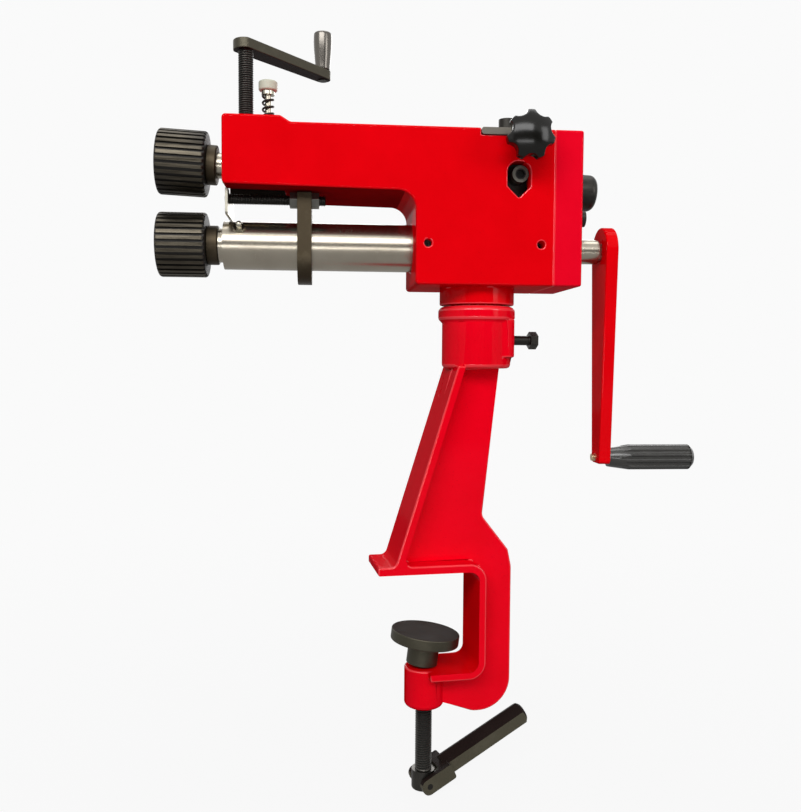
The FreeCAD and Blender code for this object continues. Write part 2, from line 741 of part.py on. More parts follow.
def set_screws():
    """One on the sleeve and one on the rear bush."""
    screws = []
    for x, seat in ((SLEEVE_SCREW_X, SLEEVE_D / 2), (BUSH_SCREW_X, BUSH_D / 2)):
        body = rod_y(SET_SCREW_D, -seat - SET_SCREW_LENGTH, -seat, x, 0)
        mouth = Vector(x, -seat - SET_SCREW_LENGTH - 1, 0)
        socket = hexagon(SET_SCREW_SOCKET, SET_SCREW_SOCKET_DEPTH + 1, mouth, Y_AXIS)
        screws.append(body.cut(socket))
    return screws


def lock_plate():
    front = -HALF_DEPTH - PLATE_PROUD
    right = PLATE_LEFT + PLATE_LENGTH
    plate = box(PLATE_LEFT, right, front, front + PLATE_DEPTH, HEAD_TOP - PLATE_THICK, HEAD_TOP)

    def at_the_left(edge):
        return edge.BoundBox.XMax < PLATE_LEFT + 0.001 and edge.BoundBox.YLength > 1

    plate = rounded(plate, PLATE_THICK * 0.4, at_the_left)
    hole = rod_z(SCREW_D + 2 * THREAD_FIT, HEAD_TOP - PLATE_THICK - 1, HEAD_TOP + 1,
                 PLATE_SCREW_X, PLATE_SCREW_Y)
    return plate.cut(hole)


def lock_plate_screw():
    start = Vector(PLATE_SCREW_X, PLATE_SCREW_Y, HEAD_TOP)
    return cap_screw(start, Z_AXIS, PLATE_SCREW_DEPTH - 1)


# ---------------------------------------------------------------- shafts, gears and rolls
def key(x0, x1, shaft_d, fit=0.0):
    """Square key lying half in the shaft's top; fit widens it to cut its seat."""
    half = KEY_WIDTH / 2 + fit
    low = shaft_d / 2 - KEY_HEIGHT / 2 - fit
    return box(x0 - fit, x1 + fit, -half, half, low, low + KEY_HEIGHT + 2 * fit)


def roll_key(origin, fit=0.0):
    seat = ROLL_LEFT + ROLL_RECESS_DEPTH - origin
    right = SHOULDER - origin - ROLL_KEY_INSET
    return key(seat + ROLL_KEY_INSET, right, ARBOR_D, fit)


def gear_key(origin, fit=0.0):
    return key(GEAR_LEFT - origin, GEAR_RIGHT - origin, SHAFT_D, fit)


def arbor(origin):
    """Stepped front end of either shaft, with its screw hole."""
    left = ROLL_LEFT + ROLL_RECESS_DEPTH - origin + FACE_GAP
    end = rod_x(ARBOR_D, left, SHOULDER - origin + 1)
    hole = rod_x(SCREW_D, left - 1, left + ARBOR_SCREW_DEPTH)
    return end.cut(hole)


def lower_shaft():
    shaft = arbor(0).fuse(rod_x(SHAFT_D, SHOULDER, STUB_END))
    half = CRANK_SQUARE / 2
    square = box(STUB_END - 1, CRANK_LEFT + CRANK_THICK, -half, half, -half, half)
    return shaft.fuse(square).cut([roll_key(0), gear_key(0)]).removeSplitter()


def upper_shaft():
    """Drawn level, with x measured from the rocker pins."""
    origin = ROCKER_X
    front = rod_x(SHAFT_D, SHOULDER - origin, FRONT_BLOCK_RIGHT + NECK_OVERLAP - origin)
    neck = rod_x(SHAFT_NECK_D, FRONT_BLOCK_RIGHT - origin, REAR_BLOCK_LEFT - origin)
    rear = rod_x(SHAFT_D, REAR_BLOCK_LEFT - NECK_OVERLAP - origin, REAR_KNOB_LEFT - origin)
    tail = rod_x(ARBOR_D, REAR_KNOB_LEFT - 1 - origin, REAR_KNOB_RIGHT - REAR_KNOB_END - origin)
    shaft = arbor(origin).fuse([front, neck, rear, tail])
    return shaft.cut([roll_key(origin), gear_key(origin)]).removeSplitter()


def involute(angle):
    return math.tan(angle) - angle


def gear(origin, turn):
    """Spur gear with thinned teeth, keyed to its shaft; turn sets where its teeth are."""
    pitch = GEAR_DISTANCE / 2
    pressure = math.radians(GEAR_PRESSURE)
    base = pitch * math.cos(pressure)
    tip = pitch + GEAR_ADDENDUM * GEAR_MODULE
    root = pitch - GEAR_DEDENDUM * GEAR_MODULE
    half_at_pitch = math.pi / 2 / GEAR_TEETH - GEAR_THINNING / 2 / pitch
    flank = [(root, half_at_pitch + involute(pressure))]
    steps = 4
    for step in range(steps + 1):
        radius = base + (tip - base) * step / steps
        here = involute(math.acos(base / radius))
        flank.append((radius, half_at_pitch + involute(pressure) - here))
    points = []
    for tooth in range(GEAR_TEETH):
        middle = 2 * math.pi * tooth / GEAR_TEETH + math.radians(turn)
        sides = [(r, middle - a) for r, a in flank] + [(r, middle + a) for r, a in flank[::-1]]
        for radius, angle in sides:
            points.append(Vector(0, radius * math.cos(angle), radius * math.sin(angle)))
    wheel = Part.Face(Part.makePolygon(points + [points[0]])).extrude(Vector(GEAR_WIDTH, 0, 0))
    wheel.translate(Vector(GEAR_LEFT - origin, 0, 0))
    bore = rod_x(SHAFT_D, GEAR_LEFT - 1 - origin, GEAR_RIGHT + 1 - origin)
    return wheel.cut([bore, gear_key(origin)])


def roll(origin):
    """Ribbed roll: rounded rims, straight grooves and a recess for its washer and bolt."""
    left = ROLL_LEFT - origin
    right = left + ROLL_WIDTH
    body = rod_x(ROLL_D, left, right)
    body = rounded(body, ROLL_RIM, lambda edge: edge.BoundBox.YLength > ROLL_D - 1)
    for index in range(ROLL_TEETH):
        bottom = ROLL_D / 2 - ROLL_GROOVE_DEPTH
        half = ROLL_GROOVE_WIDTH / 2
        groove = box(left - 1, right + 1, -half, half, bottom, ROLL_D)
        groove.rotate(Vector(), X_AXIS, 360 * index / ROLL_TEETH)
        body = body.cut(groove)
    recess = rod_x(ROLL_RECESS_D, left - 1, left + ROLL_RECESS_DEPTH)
    bore = rod_x(ARBOR_D, left - 1, right + 1)
    return body.cut([recess, bore, roll_key(origin)])


def roll_bolt(origin):
    """Washer and bolt in the roll's recess, as two solids."""
    seat = ROLL_LEFT + ROLL_RECESS_DEPTH - origin
    washer = rod_x(ROLL_WASHER_D, seat - ROLL_WASHER_THICK, seat)
    washer = washer.cut(rod_x(SCREW_D + 2 * THREAD_FIT, seat - ROLL_WASHER_THICK - 1, seat + 1))
    head_start = Vector(seat - ROLL_WASHER_THICK, 0, 0)
    head = hexagon(LOCK_HEAD_FLATS, LOCK_HEAD_THICK, head_start, -X_AXIS)
    shank = rod_x(SCREW_D, seat - ROLL_WASHER_THICK, seat + ROLL_BOLT_LENGTH)
    return [washer, head.fuse(shank)]


def collar(origin, end):
    """Collar between the roll and its bearing, out to end."""
    left = SHOULDER - origin
    right = end - origin
    body = rod_x(COLLAR_D, left, right)
    body = rounded(body, 1.0, lambda edge: edge.BoundBox.YLength > COLLAR_D - 1)
    return body.cut(rod_x(SHAFT_D, left - 1, right + 1))


def rear_knob():
    left = REAR_KNOB_LEFT - ROCKER_X
    right = REAR_KNOB_RIGHT - ROCKER_X
    body = rod_x(REAR_KNOB_D, left, right)
    body = rounded(body, REAR_KNOB_ROUNDING, lambda edge: edge.BoundBox.XMin > right - 0.001)
    return body.cut(rod_x(ARBOR_D, left - 1, right - REAR_KNOB_END))


# ---------------------------------------------------------------- rocking bearing blocks
def rear_block():
    """Steel block on the rocker pins; its boss stands in the head's window."""
    half = BLOCK_WIDTH / 2
    left = REAR_BLOCK_LEFT - ROCKER_X
    right = REAR_BLOCK_RIGHT - ROCKER_X
    block = box(left, right, -half, half, -BLOCK_HEIGHT / 2, BLOCK_HEIGHT / 2)
    x, z = window_screw_place()
    block = block.fuse(rod_y(SCREW_HEAD_D, -half - WINDOW_SCREW_PROUD, -half + 1, x, z))
    holes = [
        rod_x(BUSH_D, left - 1, right + 1),
        rod_y(ROCKER_PIN_D, -half - 1, -half + ROCKER_SEAT),
        rod_y(ROCKER_PIN_D, half - ROCKER_SEAT, half + 1),
        screw_hole(SCREW_D, Vector(x, -half - WINDOW_SCREW_PROUD - 1, z), Y_AXIS,
                   WINDOW_SCREW_SHANK + 1 + FACE_GAP),
    ]
    return block.cut(holes)


def window_screw_place():
    """Place of the window screw on the level upper axis."""
    along = WINDOW_SCREW_X - ROCKER_X
    return along, WINDOW_SCREW_Z - upper_axis(WINDOW_SCREW_X)


def window_screw():
    x, z = window_screw_place()
    start = Vector(x, -BLOCK_WIDTH / 2 - WINDOW_SCREW_PROUD, z)
    return cap_screw(start, -Y_AXIS, WINDOW_SCREW_SHANK)


def rear_block_bush():
    return plain_bush(REAR_BLOCK_LEFT - ROCKER_X, REAR_BLOCK_RIGHT - ROCKER_X)


def rocker_pins():
    inner = BLOCK_WIDTH / 2 - ROCKER_SEAT
    front = rod_y(ROCKER_PIN_D, -inner - ROCKER_PIN_LENGTH, -inner)
    back = rod_y(ROCKER_PIN_D, inner, inner + ROCKER_PIN_LENGTH)
    return [front, back]


def front_block():
    """Block that slides up and down in the arm's mouth."""
    half = BLOCK_WIDTH / 2
    left = FRONT_BLOCK_LEFT - ROCKER_X
    right = FRONT_BLOCK_RIGHT - ROCKER_X
    block = box(left, right, -half, half, -FRONT_BLOCK_UNDER, FRONT_BLOCK_OVER)
    return block.cut(rod_x(BUSH_D, left - 1, right + 1))


def front_block_bush():
    return flanged_bush(FRONT_BLOCK_LEFT - ROCKER_X)


def lift_block_top():
    return upper_axis(LIFT_X) + FRONT_BLOCK_OVER


def lift_bolt():
    """Upright bolt screwed into the front block; its cap rides on the spring."""
    shank_bottom = lift_block_top() - LIFT_SEAT
    return rod_z(LIFT_D, shank_bottom, LIFT_HEAD_BOTTOM + 1, LIFT_X)


def lift_cap():
    cap = rod_z(LIFT_HEAD_D, LIFT_HEAD_BOTTOM, LIFT_HEAD_BOTTOM + LIFT_HEAD_HEIGHT, LIFT_X)
    cap = rounded(cap, LIFT_CAP_ROUNDING, lambda edge: edge.BoundBox.YLength > LIFT_HEAD_D - 1)
    return cap.cut(rod_z(LIFT_D, LIFT_HEAD_BOTTOM - 1, LIFT_HEAD_BOTTOM + 1, LIFT_X))


def lift_washer():
    bottom = LIFT_HEAD_BOTTOM - LIFT_WASHER_HEIGHT
    washer = rod_z(LIFT_WASHER_D, bottom, LIFT_HEAD_BOTTOM, LIFT_X)
    return washer.cut(rod_z(LIFT_D + 2 * THREAD_FIT, bottom - 1, LIFT_HEAD_BOTTOM + 1, LIFT_X))


def lift_spring():
    """Open coil spring between the arm's pad and the washer."""
    height = LIFT_HEAD_BOTTOM - LIFT_WASHER_HEIGHT - BOSS_TOP
    radius = (SPRING_D - SPRING_WIRE) / 2
    rise = height - SPRING_WIRE
    helix = Part.makeHelix(rise / SPRING_TURNS, rise, radius)
    section = Part.makeCircle(SPRING_WIRE / 2, Vector(radius, 0, 0), Y_AXIS)
    coil = Part.Wire(helix).makePipeShell([Part.Wire(section)], True, True)
    coil.translate(Vector(LIFT_X, 0, BOSS_TOP + SPRING_WIRE / 2))
    return coil


# ---------------------------------------------------------------- crank
def crank_arm():
    """Tapered arm hanging from the lower shaft's square end."""
    hub = CRANK_HUB_WIDTH / 2
    end = CRANK_END_WIDTH / 2
    foot = -CRANK_RADIUS - CRANK_FOOT
    # the sides run from the foot's corners to where they touch the hub's circle
    angle = math.atan2(foot, end) + math.acos(hub / math.hypot(foot, end))
    touch_y = hub * math.cos(angle)
    touch_z = hub * math.sin(angle)
    right_touch = Vector(CRANK_LEFT, touch_y, touch_z)
    left_touch = Vector(CRANK_LEFT, -touch_y, touch_z)
    right_foot = Vector(CRANK_LEFT, end, foot)
    left_foot = Vector(CRANK_LEFT, -end, foot)
    edges = [
        Part.Arc(left_touch, Vector(CRANK_LEFT, 0, hub), right_touch).toShape(),
        Part.LineSegment(right_touch, right_foot).toShape(),
        Part.LineSegment(right_foot, left_foot).toShape(),
        Part.LineSegment(left_foot, left_touch).toShape(),
    ]
    right = CRANK_LEFT + CRANK_THICK
    arm = Part.Face(Part.Wire(edges)).extrude(Vector(CRANK_THICK, 0, 0))

    def at_the_foot(edge):
        return edge.BoundBox.ZMax < foot + 1 and edge.BoundBox.XLength > CRANK_THICK - 1

    arm = rounded(arm, EDGE_RADIUS, at_the_foot)
    arm = rounded(arm, CRANK_EDGE_RADIUS, lambda edge: edge.BoundBox.XLength < 0.01)
    half = CRANK_SQUARE / 2
    square = box(CRANK_LEFT - 1, right + 1, -half, half, -half, half)
    hole = rod_x(GRIP_BOLT_D + 2 * THREAD_FIT, CRANK_LEFT - 1, right + 1, 0, -CRANK_RADIUS)
    return arm.cut([square, hole])


def crank_grip():
    """Fluted grip that spins on its bolt."""
    left = CRANK_LEFT + CRANK_THICK + FACE_GAP
    right = left + GRIP_LENGTH
    body_d = GRIP_D / 2
    neck = GRIP_NECK_D / 2
    profile = [
        (0, 0),
        (0, neck),
        (GRIP_LENGTH * GRIP_TAPER, body_d),
        (GRIP_LENGTH - EDGE_RADIUS, body_d),
        (GRIP_LENGTH, body_d - EDGE_RADIUS),
        (GRIP_LENGTH, 0),
    ]
    grip = turned(profile, Vector(left, 0, -CRANK_RADIUS), X_AXIS)
    for index in range(GRIP_FLUTES):
        flute = rod_x(GRIP_FLUTE_D, left + EDGE_RADIUS, right - EDGE_RADIUS, 0, body_d + GRIP_FLUTE_OUT)
        flute.rotate(Vector(), X_AXIS, 360 * index / GRIP_FLUTES)
        flute.translate(Vector(0, 0, -CRANK_RADIUS))
        grip = grip.cut(flute)
    bore = rod_x(GRIP_BOLT_D + 2 * SPIN_FIT, left - 1, right + 1, 0, -CRANK_RADIUS)
    pocket_left = right - GRIP_POCKET
    pocket = rod_x(SCREW_HEAD_D + 1, pocket_left, right + 1, 0, -CRANK_RADIUS)
    return grip.cut([bore, pocket])


def grip_bolt():
    right = CRANK_LEFT + CRANK_THICK + FACE_GAP + GRIP_LENGTH
    head_left = right - GRIP_POCKET + FACE_GAP
    shank = rod_x(GRIP_BOLT_D, CRANK_LEFT - GRIP_BOLT_TAIL, head_left + 1, 0, -CRANK_RADIUS)
    head = rod_x(SCREW_HEAD_D, head_left, right - 1, 0, -CRANK_RADIUS)
    return shank.fuse(head)


# ---------------------------------------------------------------- pressure screw
def button_bottom():
    return upper_axis(PRESS_X) + FRONT_BLOCK_OVER + BUTTON_GAP


def pressure_button():
    """Hardened cap on the screw's tip; it moves down without turning."""
    bottom = button_bottom()
    top = bottom + BUTTON_HEIGHT
    button = rod_z(BUTTON_D, bottom, top, PRESS_X)
    socket_d = BUTTON_PIN_D + 2 * RUN_FIT
    return button.cut(rod_z(socket_d, top - BUTTON_PIN_LENGTH - RUN_FIT, top + 1, PRESS_X))


def pressure_screw():
    shoulder = button_bottom() + BUTTON_HEIGHT + RUN_FIT
    body = rod_z(PRESS_D, shoulder, PRESS_ARM_BOTTOM + PRESS_ARM_THICK, PRESS_X)
    return body.fuse(rod_z(BUTTON_PIN_D, shoulder - BUTTON_PIN_LENGTH, shoulder + 1, PRESS_X))


def small_crank():
    """Flat tapered arm with a rounded end, drawn along +X from the screw and then turned."""
    bottom = PRESS_ARM_BOTTOM
    top = bottom + PRESS_ARM_THICK
    near = PRESS_ARM_HUB_WIDTH / 2
    far = PRESS_ARM_END_WIDTH / 2
    back = PRESS_HUB_D / 2
    end = rod_z(PRESS_HUB_D, bottom, top).common(box(-back, 0, -near, near, bottom, top))
    points = [
        (0, -near, 0),
        (PRESS_ARM_RADIUS + far, -far, far - 0.5),
        (PRESS_ARM_RADIUS + far, far, far - 0.5),
        (0, near, 0),
    ]
    arm = end.fuse(plate_z(points, bottom, top)).removeSplitter()
    arm = arm.cut(rod_z(PRESS_D, bottom - OVER, top + OVER))
    arm = arm.cut(rod_z(SPINNER_PIN_D, bottom - OVER, top + OVER, PRESS_ARM_RADIUS))
    return small_crank_turned(arm)


def small_crank_turned(shape):
    """Swing a piece drawn along +X to the small crank's place."""
    shape.rotate(Vector(), Z_AXIS, PRESS_ARM_TURN)
    shape.translate(Vector(PRESS_X, 0, 0))
    return shape


def spinner_pin():
    """Rivet under the arm's end that carries the spinning handle."""
    bottom = PRESS_ARM_BOTTOM
    top = bottom + PRESS_ARM_THICK + SPINNER_PIN_REACH
    pin = rod_z(SPINNER_PIN_D, bottom - RIVET_HEAD_HEIGHT / 2, top, PRESS_ARM_RADIUS)
    head = rod_z(RIVET_HEAD_D, bottom - RIVET_HEAD_HEIGHT, bottom, PRESS_ARM_RADIUS)
    return small_crank_turned(pin.fuse(head))


def spinner():
    """Tapered handle, widest near its top."""
    bottom = PRESS_ARM_BOTTOM + PRESS_ARM_THICK + FACE_GAP
    wide = SPINNER_D / 2
    profile = [
        (0, 0),
        (0, SPINNER_NECK_D / 2),
        (SPINNER_LENGTH * 0.5, wide - SPINNER_CROWN * 0.3),
        (SPINNER_LENGTH * 0.75, wide),
        (SPINNER_LENGTH - SPINNER_CROWN * 0.8, wide - SPINNER_CROWN * 0.15),
        (SPINNER_LENGTH, wide - SPINNER_CROWN),
        (SPINNER_LENGTH, 0),
    ]
    handle = turned(profile, Vector(PRESS_ARM_RADIUS, 0, bottom), Z_AXIS)
    depth = SPINNER_PIN_REACH + 1
    bore = rod_z(SPINNER_PIN_D + 2 * SPIN_FIT, bottom - 1, bottom + depth, PRESS_ARM_RADIUS)
    return small_crank_turned(handle.cut(bore))


# ---------------------------------------------------------------- star knob
def star_knob():
    """Domed knob with rounded lobes on a short hub; it faces the front."""
    hub_face = -HALF_DEPTH - KNOB_STANDOFF
    disc_back = hub_face - KNOB_HUB_LENGTH
    disc_front = hub_face - KNOB_HEIGHT
    disc = rod_y(KNOB_D, disc_front, disc_back, KNOB_X, KNOB_Z)
    dome = Part.makeSphere(KNOB_DOME, Vector(KNOB_X, disc_front + KNOB_DOME, KNOB_Z))
    disc = disc.common(dome)
    for index in range(KNOB_LOBES):
        angle = 2 * math.pi * (index + 0.5) / KNOB_LOBES
        x = KNOB_X + (KNOB_D / 2 + KNOB_SCALLOP_OUT) * math.sin(angle)
        z = KNOB_Z + (KNOB_D / 2 + KNOB_SCALLOP_OUT) * math.cos(angle)
        disc = disc.cut(rod_y(KNOB_SCALLOP_D, disc_front - 1, disc_back + 1, x, z))
    knob = disc.fuse(rod_y(KNOB_HUB_D, disc_back - 1, hub_face, KNOB_X, KNOB_Z))
    return knob.cut(rod_y(KNOB_STUD_D, disc_back - KNOB_STUD_IN, hub_face + 1, KNOB_X, KNOB_Z))


def knob_stud():
    disc_back = -HALF_DEPTH - KNOB_STANDOFF - KNOB_HUB_LENGTH
    front = disc_back - KNOB_STUD_IN
    return rod_y(KNOB_STUD_D, front, -HALF_DEPTH + STUD_SEAT - 1, KNOB_X, KNOB_Z)


# ---------------------------------------------------------------- gauge
def gauge_bracket():
    """Plate bored over the sleeve, with a hole for the threaded rod."""
    right = BRACKET_LEFT + BRACKET_THICK
    half = BRACKET_HALF_WIDTH
    top = arm_under(right + BRACKET_TRAVEL) - FACE_GAP
    points = [
        (-half, top, 1),
        (half, top, 1),
        (half, -BRACKET_UNDER, BRACKET_FOOT_RADIUS),
        (-half, -BRACKET_UNDER, BRACKET_FOOT_RADIUS),
    ]
    plate = plate_x(points, BRACKET_LEFT, right)
    bore = rod_x(SLEEVE_D + 2 * SLIDE_FIT, BRACKET_LEFT - 1, right + 1)
    rod_hole = rod_x(ROD_D + 2 * THREAD_FIT, BRACKET_LEFT - 1, right + 1, ROD_Y, ROD_Z)
    return plate.cut([bore, rod_hole])


def gauge_nuts():
    """One nut on each side of the bracket, with a flat on top under the arm."""
    nuts = []
    for left in (BRACKET_LEFT - NUT_HEIGHT, BRACKET_LEFT + BRACKET_THICK):
        nut = hexagon(NUT_FLATS, NUT_HEIGHT, Vector(left, ROD_Y, ROD_Z), X_AXIS)
        nut.rotate(Vector(left, ROD_Y, ROD_Z), X_AXIS, 30)
        bore = rod_x(ROD_D + 2 * THREAD_FIT, left - 1, left + NUT_HEIGHT + 1, ROD_Y, ROD_Z)
        nuts.append(nut.cut(bore))
    return nuts


def gauge_rod():
    return rod_x(ROD_D, ROD_LEFT, ROD_RIGHT, ROD_Y, ROD_Z)


def fence_plate():
    """Thin plate on the rod's end; its foot clears the sleeve and the grease nipple."""
    ear_back = -BLOCK_WIDTH / 2 - 1
    points = [
        (FENCE_FRONT, FENCE_FOOT, FENCE_CORNER),
        (FENCE_BACK, FENCE_FOOT, 0),
        (FENCE_BACK, FENCE_TOP, FENCE_CORNER),
        (ear_back, FENCE_TOP, 0),
        (ear_back, FENCE_EAR_TOP, FENCE_CORNER / 2),
        (FENCE_FRONT, FENCE_EAR_TOP, FENCE_CORNER / 2),
    ]
    right = FENCE_LEFT + FENCE_THICK
    plate = plate_x(points, FENCE_LEFT, right)
    return plate.cut(rod_x(ROD_D, FENCE_LEFT - OVER, right + OVER, ROD_Y, ROD_Z))


# ---------------------------------------------------------------- stand
def stand_web():
    """Upright web: strut, spine and lower arm in one outline."""
    points = [
        (STRUT_TOP_X, SOCKET_BOTTOM + SOCKET_EDGE, 0),
        (CLAMP_REACH + WEB_TOP_REACH, SOCKET_BOTTOM + SOCKET_EDGE, 0),
        (WAIST_X, WAIST_Z, WAIST_FOOT_RADIUS),
        (SPINE_OUTER - SHOULDER_STEP, STRUT_FOOT_Z, EDGE_RADIUS),
        (SPINE_OUTER, 0, SPINE_TOP_RADIUS),
        (SPINE_OUTER, HEEL_BOTTOM, HEEL_RADIUS),
        (HEEL_LEFT, HEEL_BOTTOM, HEEL_INNER_RADIUS),
        (CLAMP_BOSS_D / 2 - BOSS_ROUNDING, VALLEY_Z, EDGE_RADIUS),
        (0, VALLEY_Z, 0),
        (0, -JAW_OPENING - 1, 0),
        (SPINE_INNER + 1, -JAW_OPENING - 1, 0),
        (SPINE_INNER + 1, JAW_THICK / 2, 0),
        (STRUT_FOOT_X, JAW_THICK / 2, 0),
    ]
    return plate_y(points, -WEB_THICK / 2, WEB_THICK / 2)


def strut_slope():
    return (STRUT_TOP_X - STRUT_FOOT_X) / (SOCKET_BOTTOM - STRUT_FOOT_Z)


def stand_flange():
    """Wide flange: down the strut, out to the jaw's lip and round inside the C."""
    half = FLANGE_WIDTH / 2
    thick = FLANGE_THICK
    top = SOCKET_BOTTOM + SOCKET_EDGE
    top_x = STRUT_TOP_X + strut_slope() * SOCKET_EDGE
    across = thick * math.hypot(1, strut_slope())
    foot_x = STRUT_FOOT_X - strut_slope() * (STRUT_FOOT_Z - JAW_THICK)
    return plate_y([
        (top_x, top, 0),
        (foot_x, JAW_THICK, STRUT_FILLET),
        (JAW_LEFT, JAW_THICK, LIP_RADIUS),
        (JAW_LEFT, 0, LIP_RADIUS),
        (SPINE_INNER, 0, INNER_RADIUS),
        (SPINE_INNER, -JAW_OPENING, INNER_RADIUS),
        (0, -JAW_OPENING, 0),
        (0, -JAW_OPENING - thick, 0),
        (SPINE_INNER + thick, -JAW_OPENING - thick, INNER_RADIUS + thick),
        (SPINE_INNER + thick, JAW_THICK, INNER_RADIUS + thick),
        (foot_x + across, JAW_THICK, STRUT_FILLET),
        (top_x + across, top, 0),
    ], -half, half)


def socket():
    """Round socket for the head's spigot, with a raised ring and a flat tapped pad."""
    taper = (SOCKET_RING_D - SOCKET_D) / 2
    ring_bottom = SOCKET_TOP - SOCKET_RING_HEIGHT
    profile = [
        (SOCKET_BOTTOM, 0),
        (SOCKET_BOTTOM, SOCKET_D / 2 - SOCKET_EDGE),
        (SOCKET_BOTTOM + SOCKET_EDGE, SOCKET_D / 2),
        (ring_bottom - taper, SOCKET_D / 2),
        (ring_bottom, SOCKET_RING_D / 2),
        (SOCKET_TOP - RING_CHAMFER, SOCKET_RING_D / 2),
        (SOCKET_TOP, SOCKET_RING_D / 2 - RING_CHAMFER),
        (SOCKET_TOP, 0),
    ]
    body = turned(profile, Vector(CLAMP_REACH, 0, 0), Z_AXIS)
    half = SOCKET_PAD_WIDTH / 2
    pad_right = CLAMP_REACH + SOCKET_PAD_REACH
    pad_bottom = SOCKET_BOTTOM + SOCKET_PAD_FOOT
    pad = plate_z([
        (CLAMP_REACH, -half, 0),
        (pad_right, -half, SOCKET_PAD_CORNER),
        (pad_right, half, SOCKET_PAD_CORNER),
        (CLAMP_REACH, half, 0),
    ], pad_bottom, ring_bottom)
    face = box(pad_right, pad_right + SOCKET_D, -half, half, pad_bottom, ring_bottom)
    return body.fuse(pad).cut(face)


def clamp_boss():
    boss = rod_z(CLAMP_BOSS_D, CLAMP_BOSS_BOTTOM, -JAW_OPENING)
    return rounded(boss, BOSS_ROUNDING, lambda edge: edge.BoundBox.ZMax < CLAMP_BOSS_BOTTOM + OVER)


def stand():
    body = stand_web().fuse([stand_flange(), socket(), clamp_boss()])
    spigot_bore_d = SPIGOT_D + 2 * SLIDE_FIT
    bore_bottom = SHAFT_HEIGHT + NECK_BOTTOM - SPIGOT_LENGTH - FACE_GAP
    holes = [
        rod_z(spigot_bore_d, bore_bottom, SOCKET_TOP + OVER, CLAMP_REACH),
        rod_z(CLAMP_D + 2 * THREAD_FIT, CLAMP_BOSS_BOTTOM - OVER, -JAW_OPENING + OVER),
        rod_x(LOCK_D + 2 * THREAD_FIT, CLAMP_REACH + SPIGOT_D / 2 - OVER,
              CLAMP_REACH + SOCKET_PAD_REACH + OVER, 0, LOCK_Z),
    ]
    return body.cut(holes).removeSplitter()


def swivel_lock_bolt():
    """Hexagon bolt whose tip stands in the spigot's groove."""
    tip = CLAMP_REACH + SPIGOT_D / 2 - SPIGOT_GROOVE_DEPTH + FACE_GAP
    head_left = CLAMP_REACH + LOCK_HEAD_X
    shank = rod_x(LOCK_D, tip, head_left + 1, 0, LOCK_Z)
    head = hexagon(LOCK_HEAD_FLATS, LOCK_HEAD_THICK, Vector(head_left, 0, LOCK_Z), X_AXIS)
    return shank.fuse(head)


# ---------------------------------------------------------------- clamp
def pad_hub_bottom():
    return -JAW_OPENING + FACE_GAP + PAD_LIFT


def clamp_screw_top():
    """Just below the pad's hub, clear of it when it tilts."""
    return pad_hub_bottom() - 4 * FACE_GAP


def clamp_ball_stud():
    """Ball that the pad swivels on, with a spigot into the screw's top."""
    ball = Part.makeSphere(BALL_D / 2, Vector(0, 0, BALL_Z))
    spigot = rod_z(STUD_D, clamp_screw_top() - STUD_LENGTH + FACE_GAP, BALL_Z)
    return ball.fuse(spigot)


def clamp_screw():
    """Screw with a round eye at its foot, flat on both sides for the toggle."""
    top = clamp_screw_top()
    screw = rod_z(CLAMP_D, EYE_TOP - 1, top)
    screw = screw.cut(rod_z(STUD_D + 2 * RUN_FIT, top - STUD_LENGTH, top + 1))
    eye = rod_z(EYE_D, EYE_BOTTOM, EYE_TOP)
    eye = rounded(eye, EYE_EDGE, lambda edge: edge.BoundBox.ZMax < EYE_BOTTOM + 1)
    body = screw.fuse(eye)
    body = body.cut(rod_y(TOGGLE_PIN_D + 2 * RUN_FIT, -EYE_D, EYE_D, 0, TOGGLE_PIN_Z))
    body.rotate(Vector(), Z_AXIS, TOGGLE_TURN)
    return body


def clamp_pad():
    """Round pad with a hub, tilted about the ball's centre."""
    hub_bottom = pad_hub_bottom()
    disc_bottom = hub_bottom + PAD_HUB_LENGTH
    disc = rod_z(PAD_D, disc_bottom, disc_bottom + PAD_THICK)
    disc = rounded(disc, 1.0, lambda edge: edge.BoundBox.YLength > PAD_D - 1)
    dish_z = disc_bottom + PAD_THICK + PAD_DISH - PAD_DISH_DEPTH
    dish = Part.makeSphere(PAD_DISH, Vector(0, 0, dish_z))
    hub = rod_z(PAD_HUB_D, hub_bottom, disc_bottom + 1)
    pad = disc.cut(dish).fuse(hub)
    ball_room = Part.makeSphere(BALL_D / 2 + RUN_FIT, Vector(0, 0, BALL_Z))
    mouth = Part.makeCone(BALL_D / 2 + BALL_MOUTH, BALL_D / 2 - BALL_MOUTH, BALL_Z - hub_bottom,
                          Vector(0, 0, hub_bottom - 1))
    pad = pad.cut([ball_room, mouth])
    pad.rotate(Vector(0, 0, BALL_Z), Y_AXIS, PAD_TILT)
    return pad


def toggle_turned(shape):
    """Raise a piece drawn along +X from the toggle pin and swing it to its place."""
    shape.rotate(Vector(0, 0, TOGGLE_PIN_Z), Y_AXIS, -TOGGLE_RISE)
    shape.rotate(Vector(), Z_AXIS, TOGGLE_TURN)
    return shape


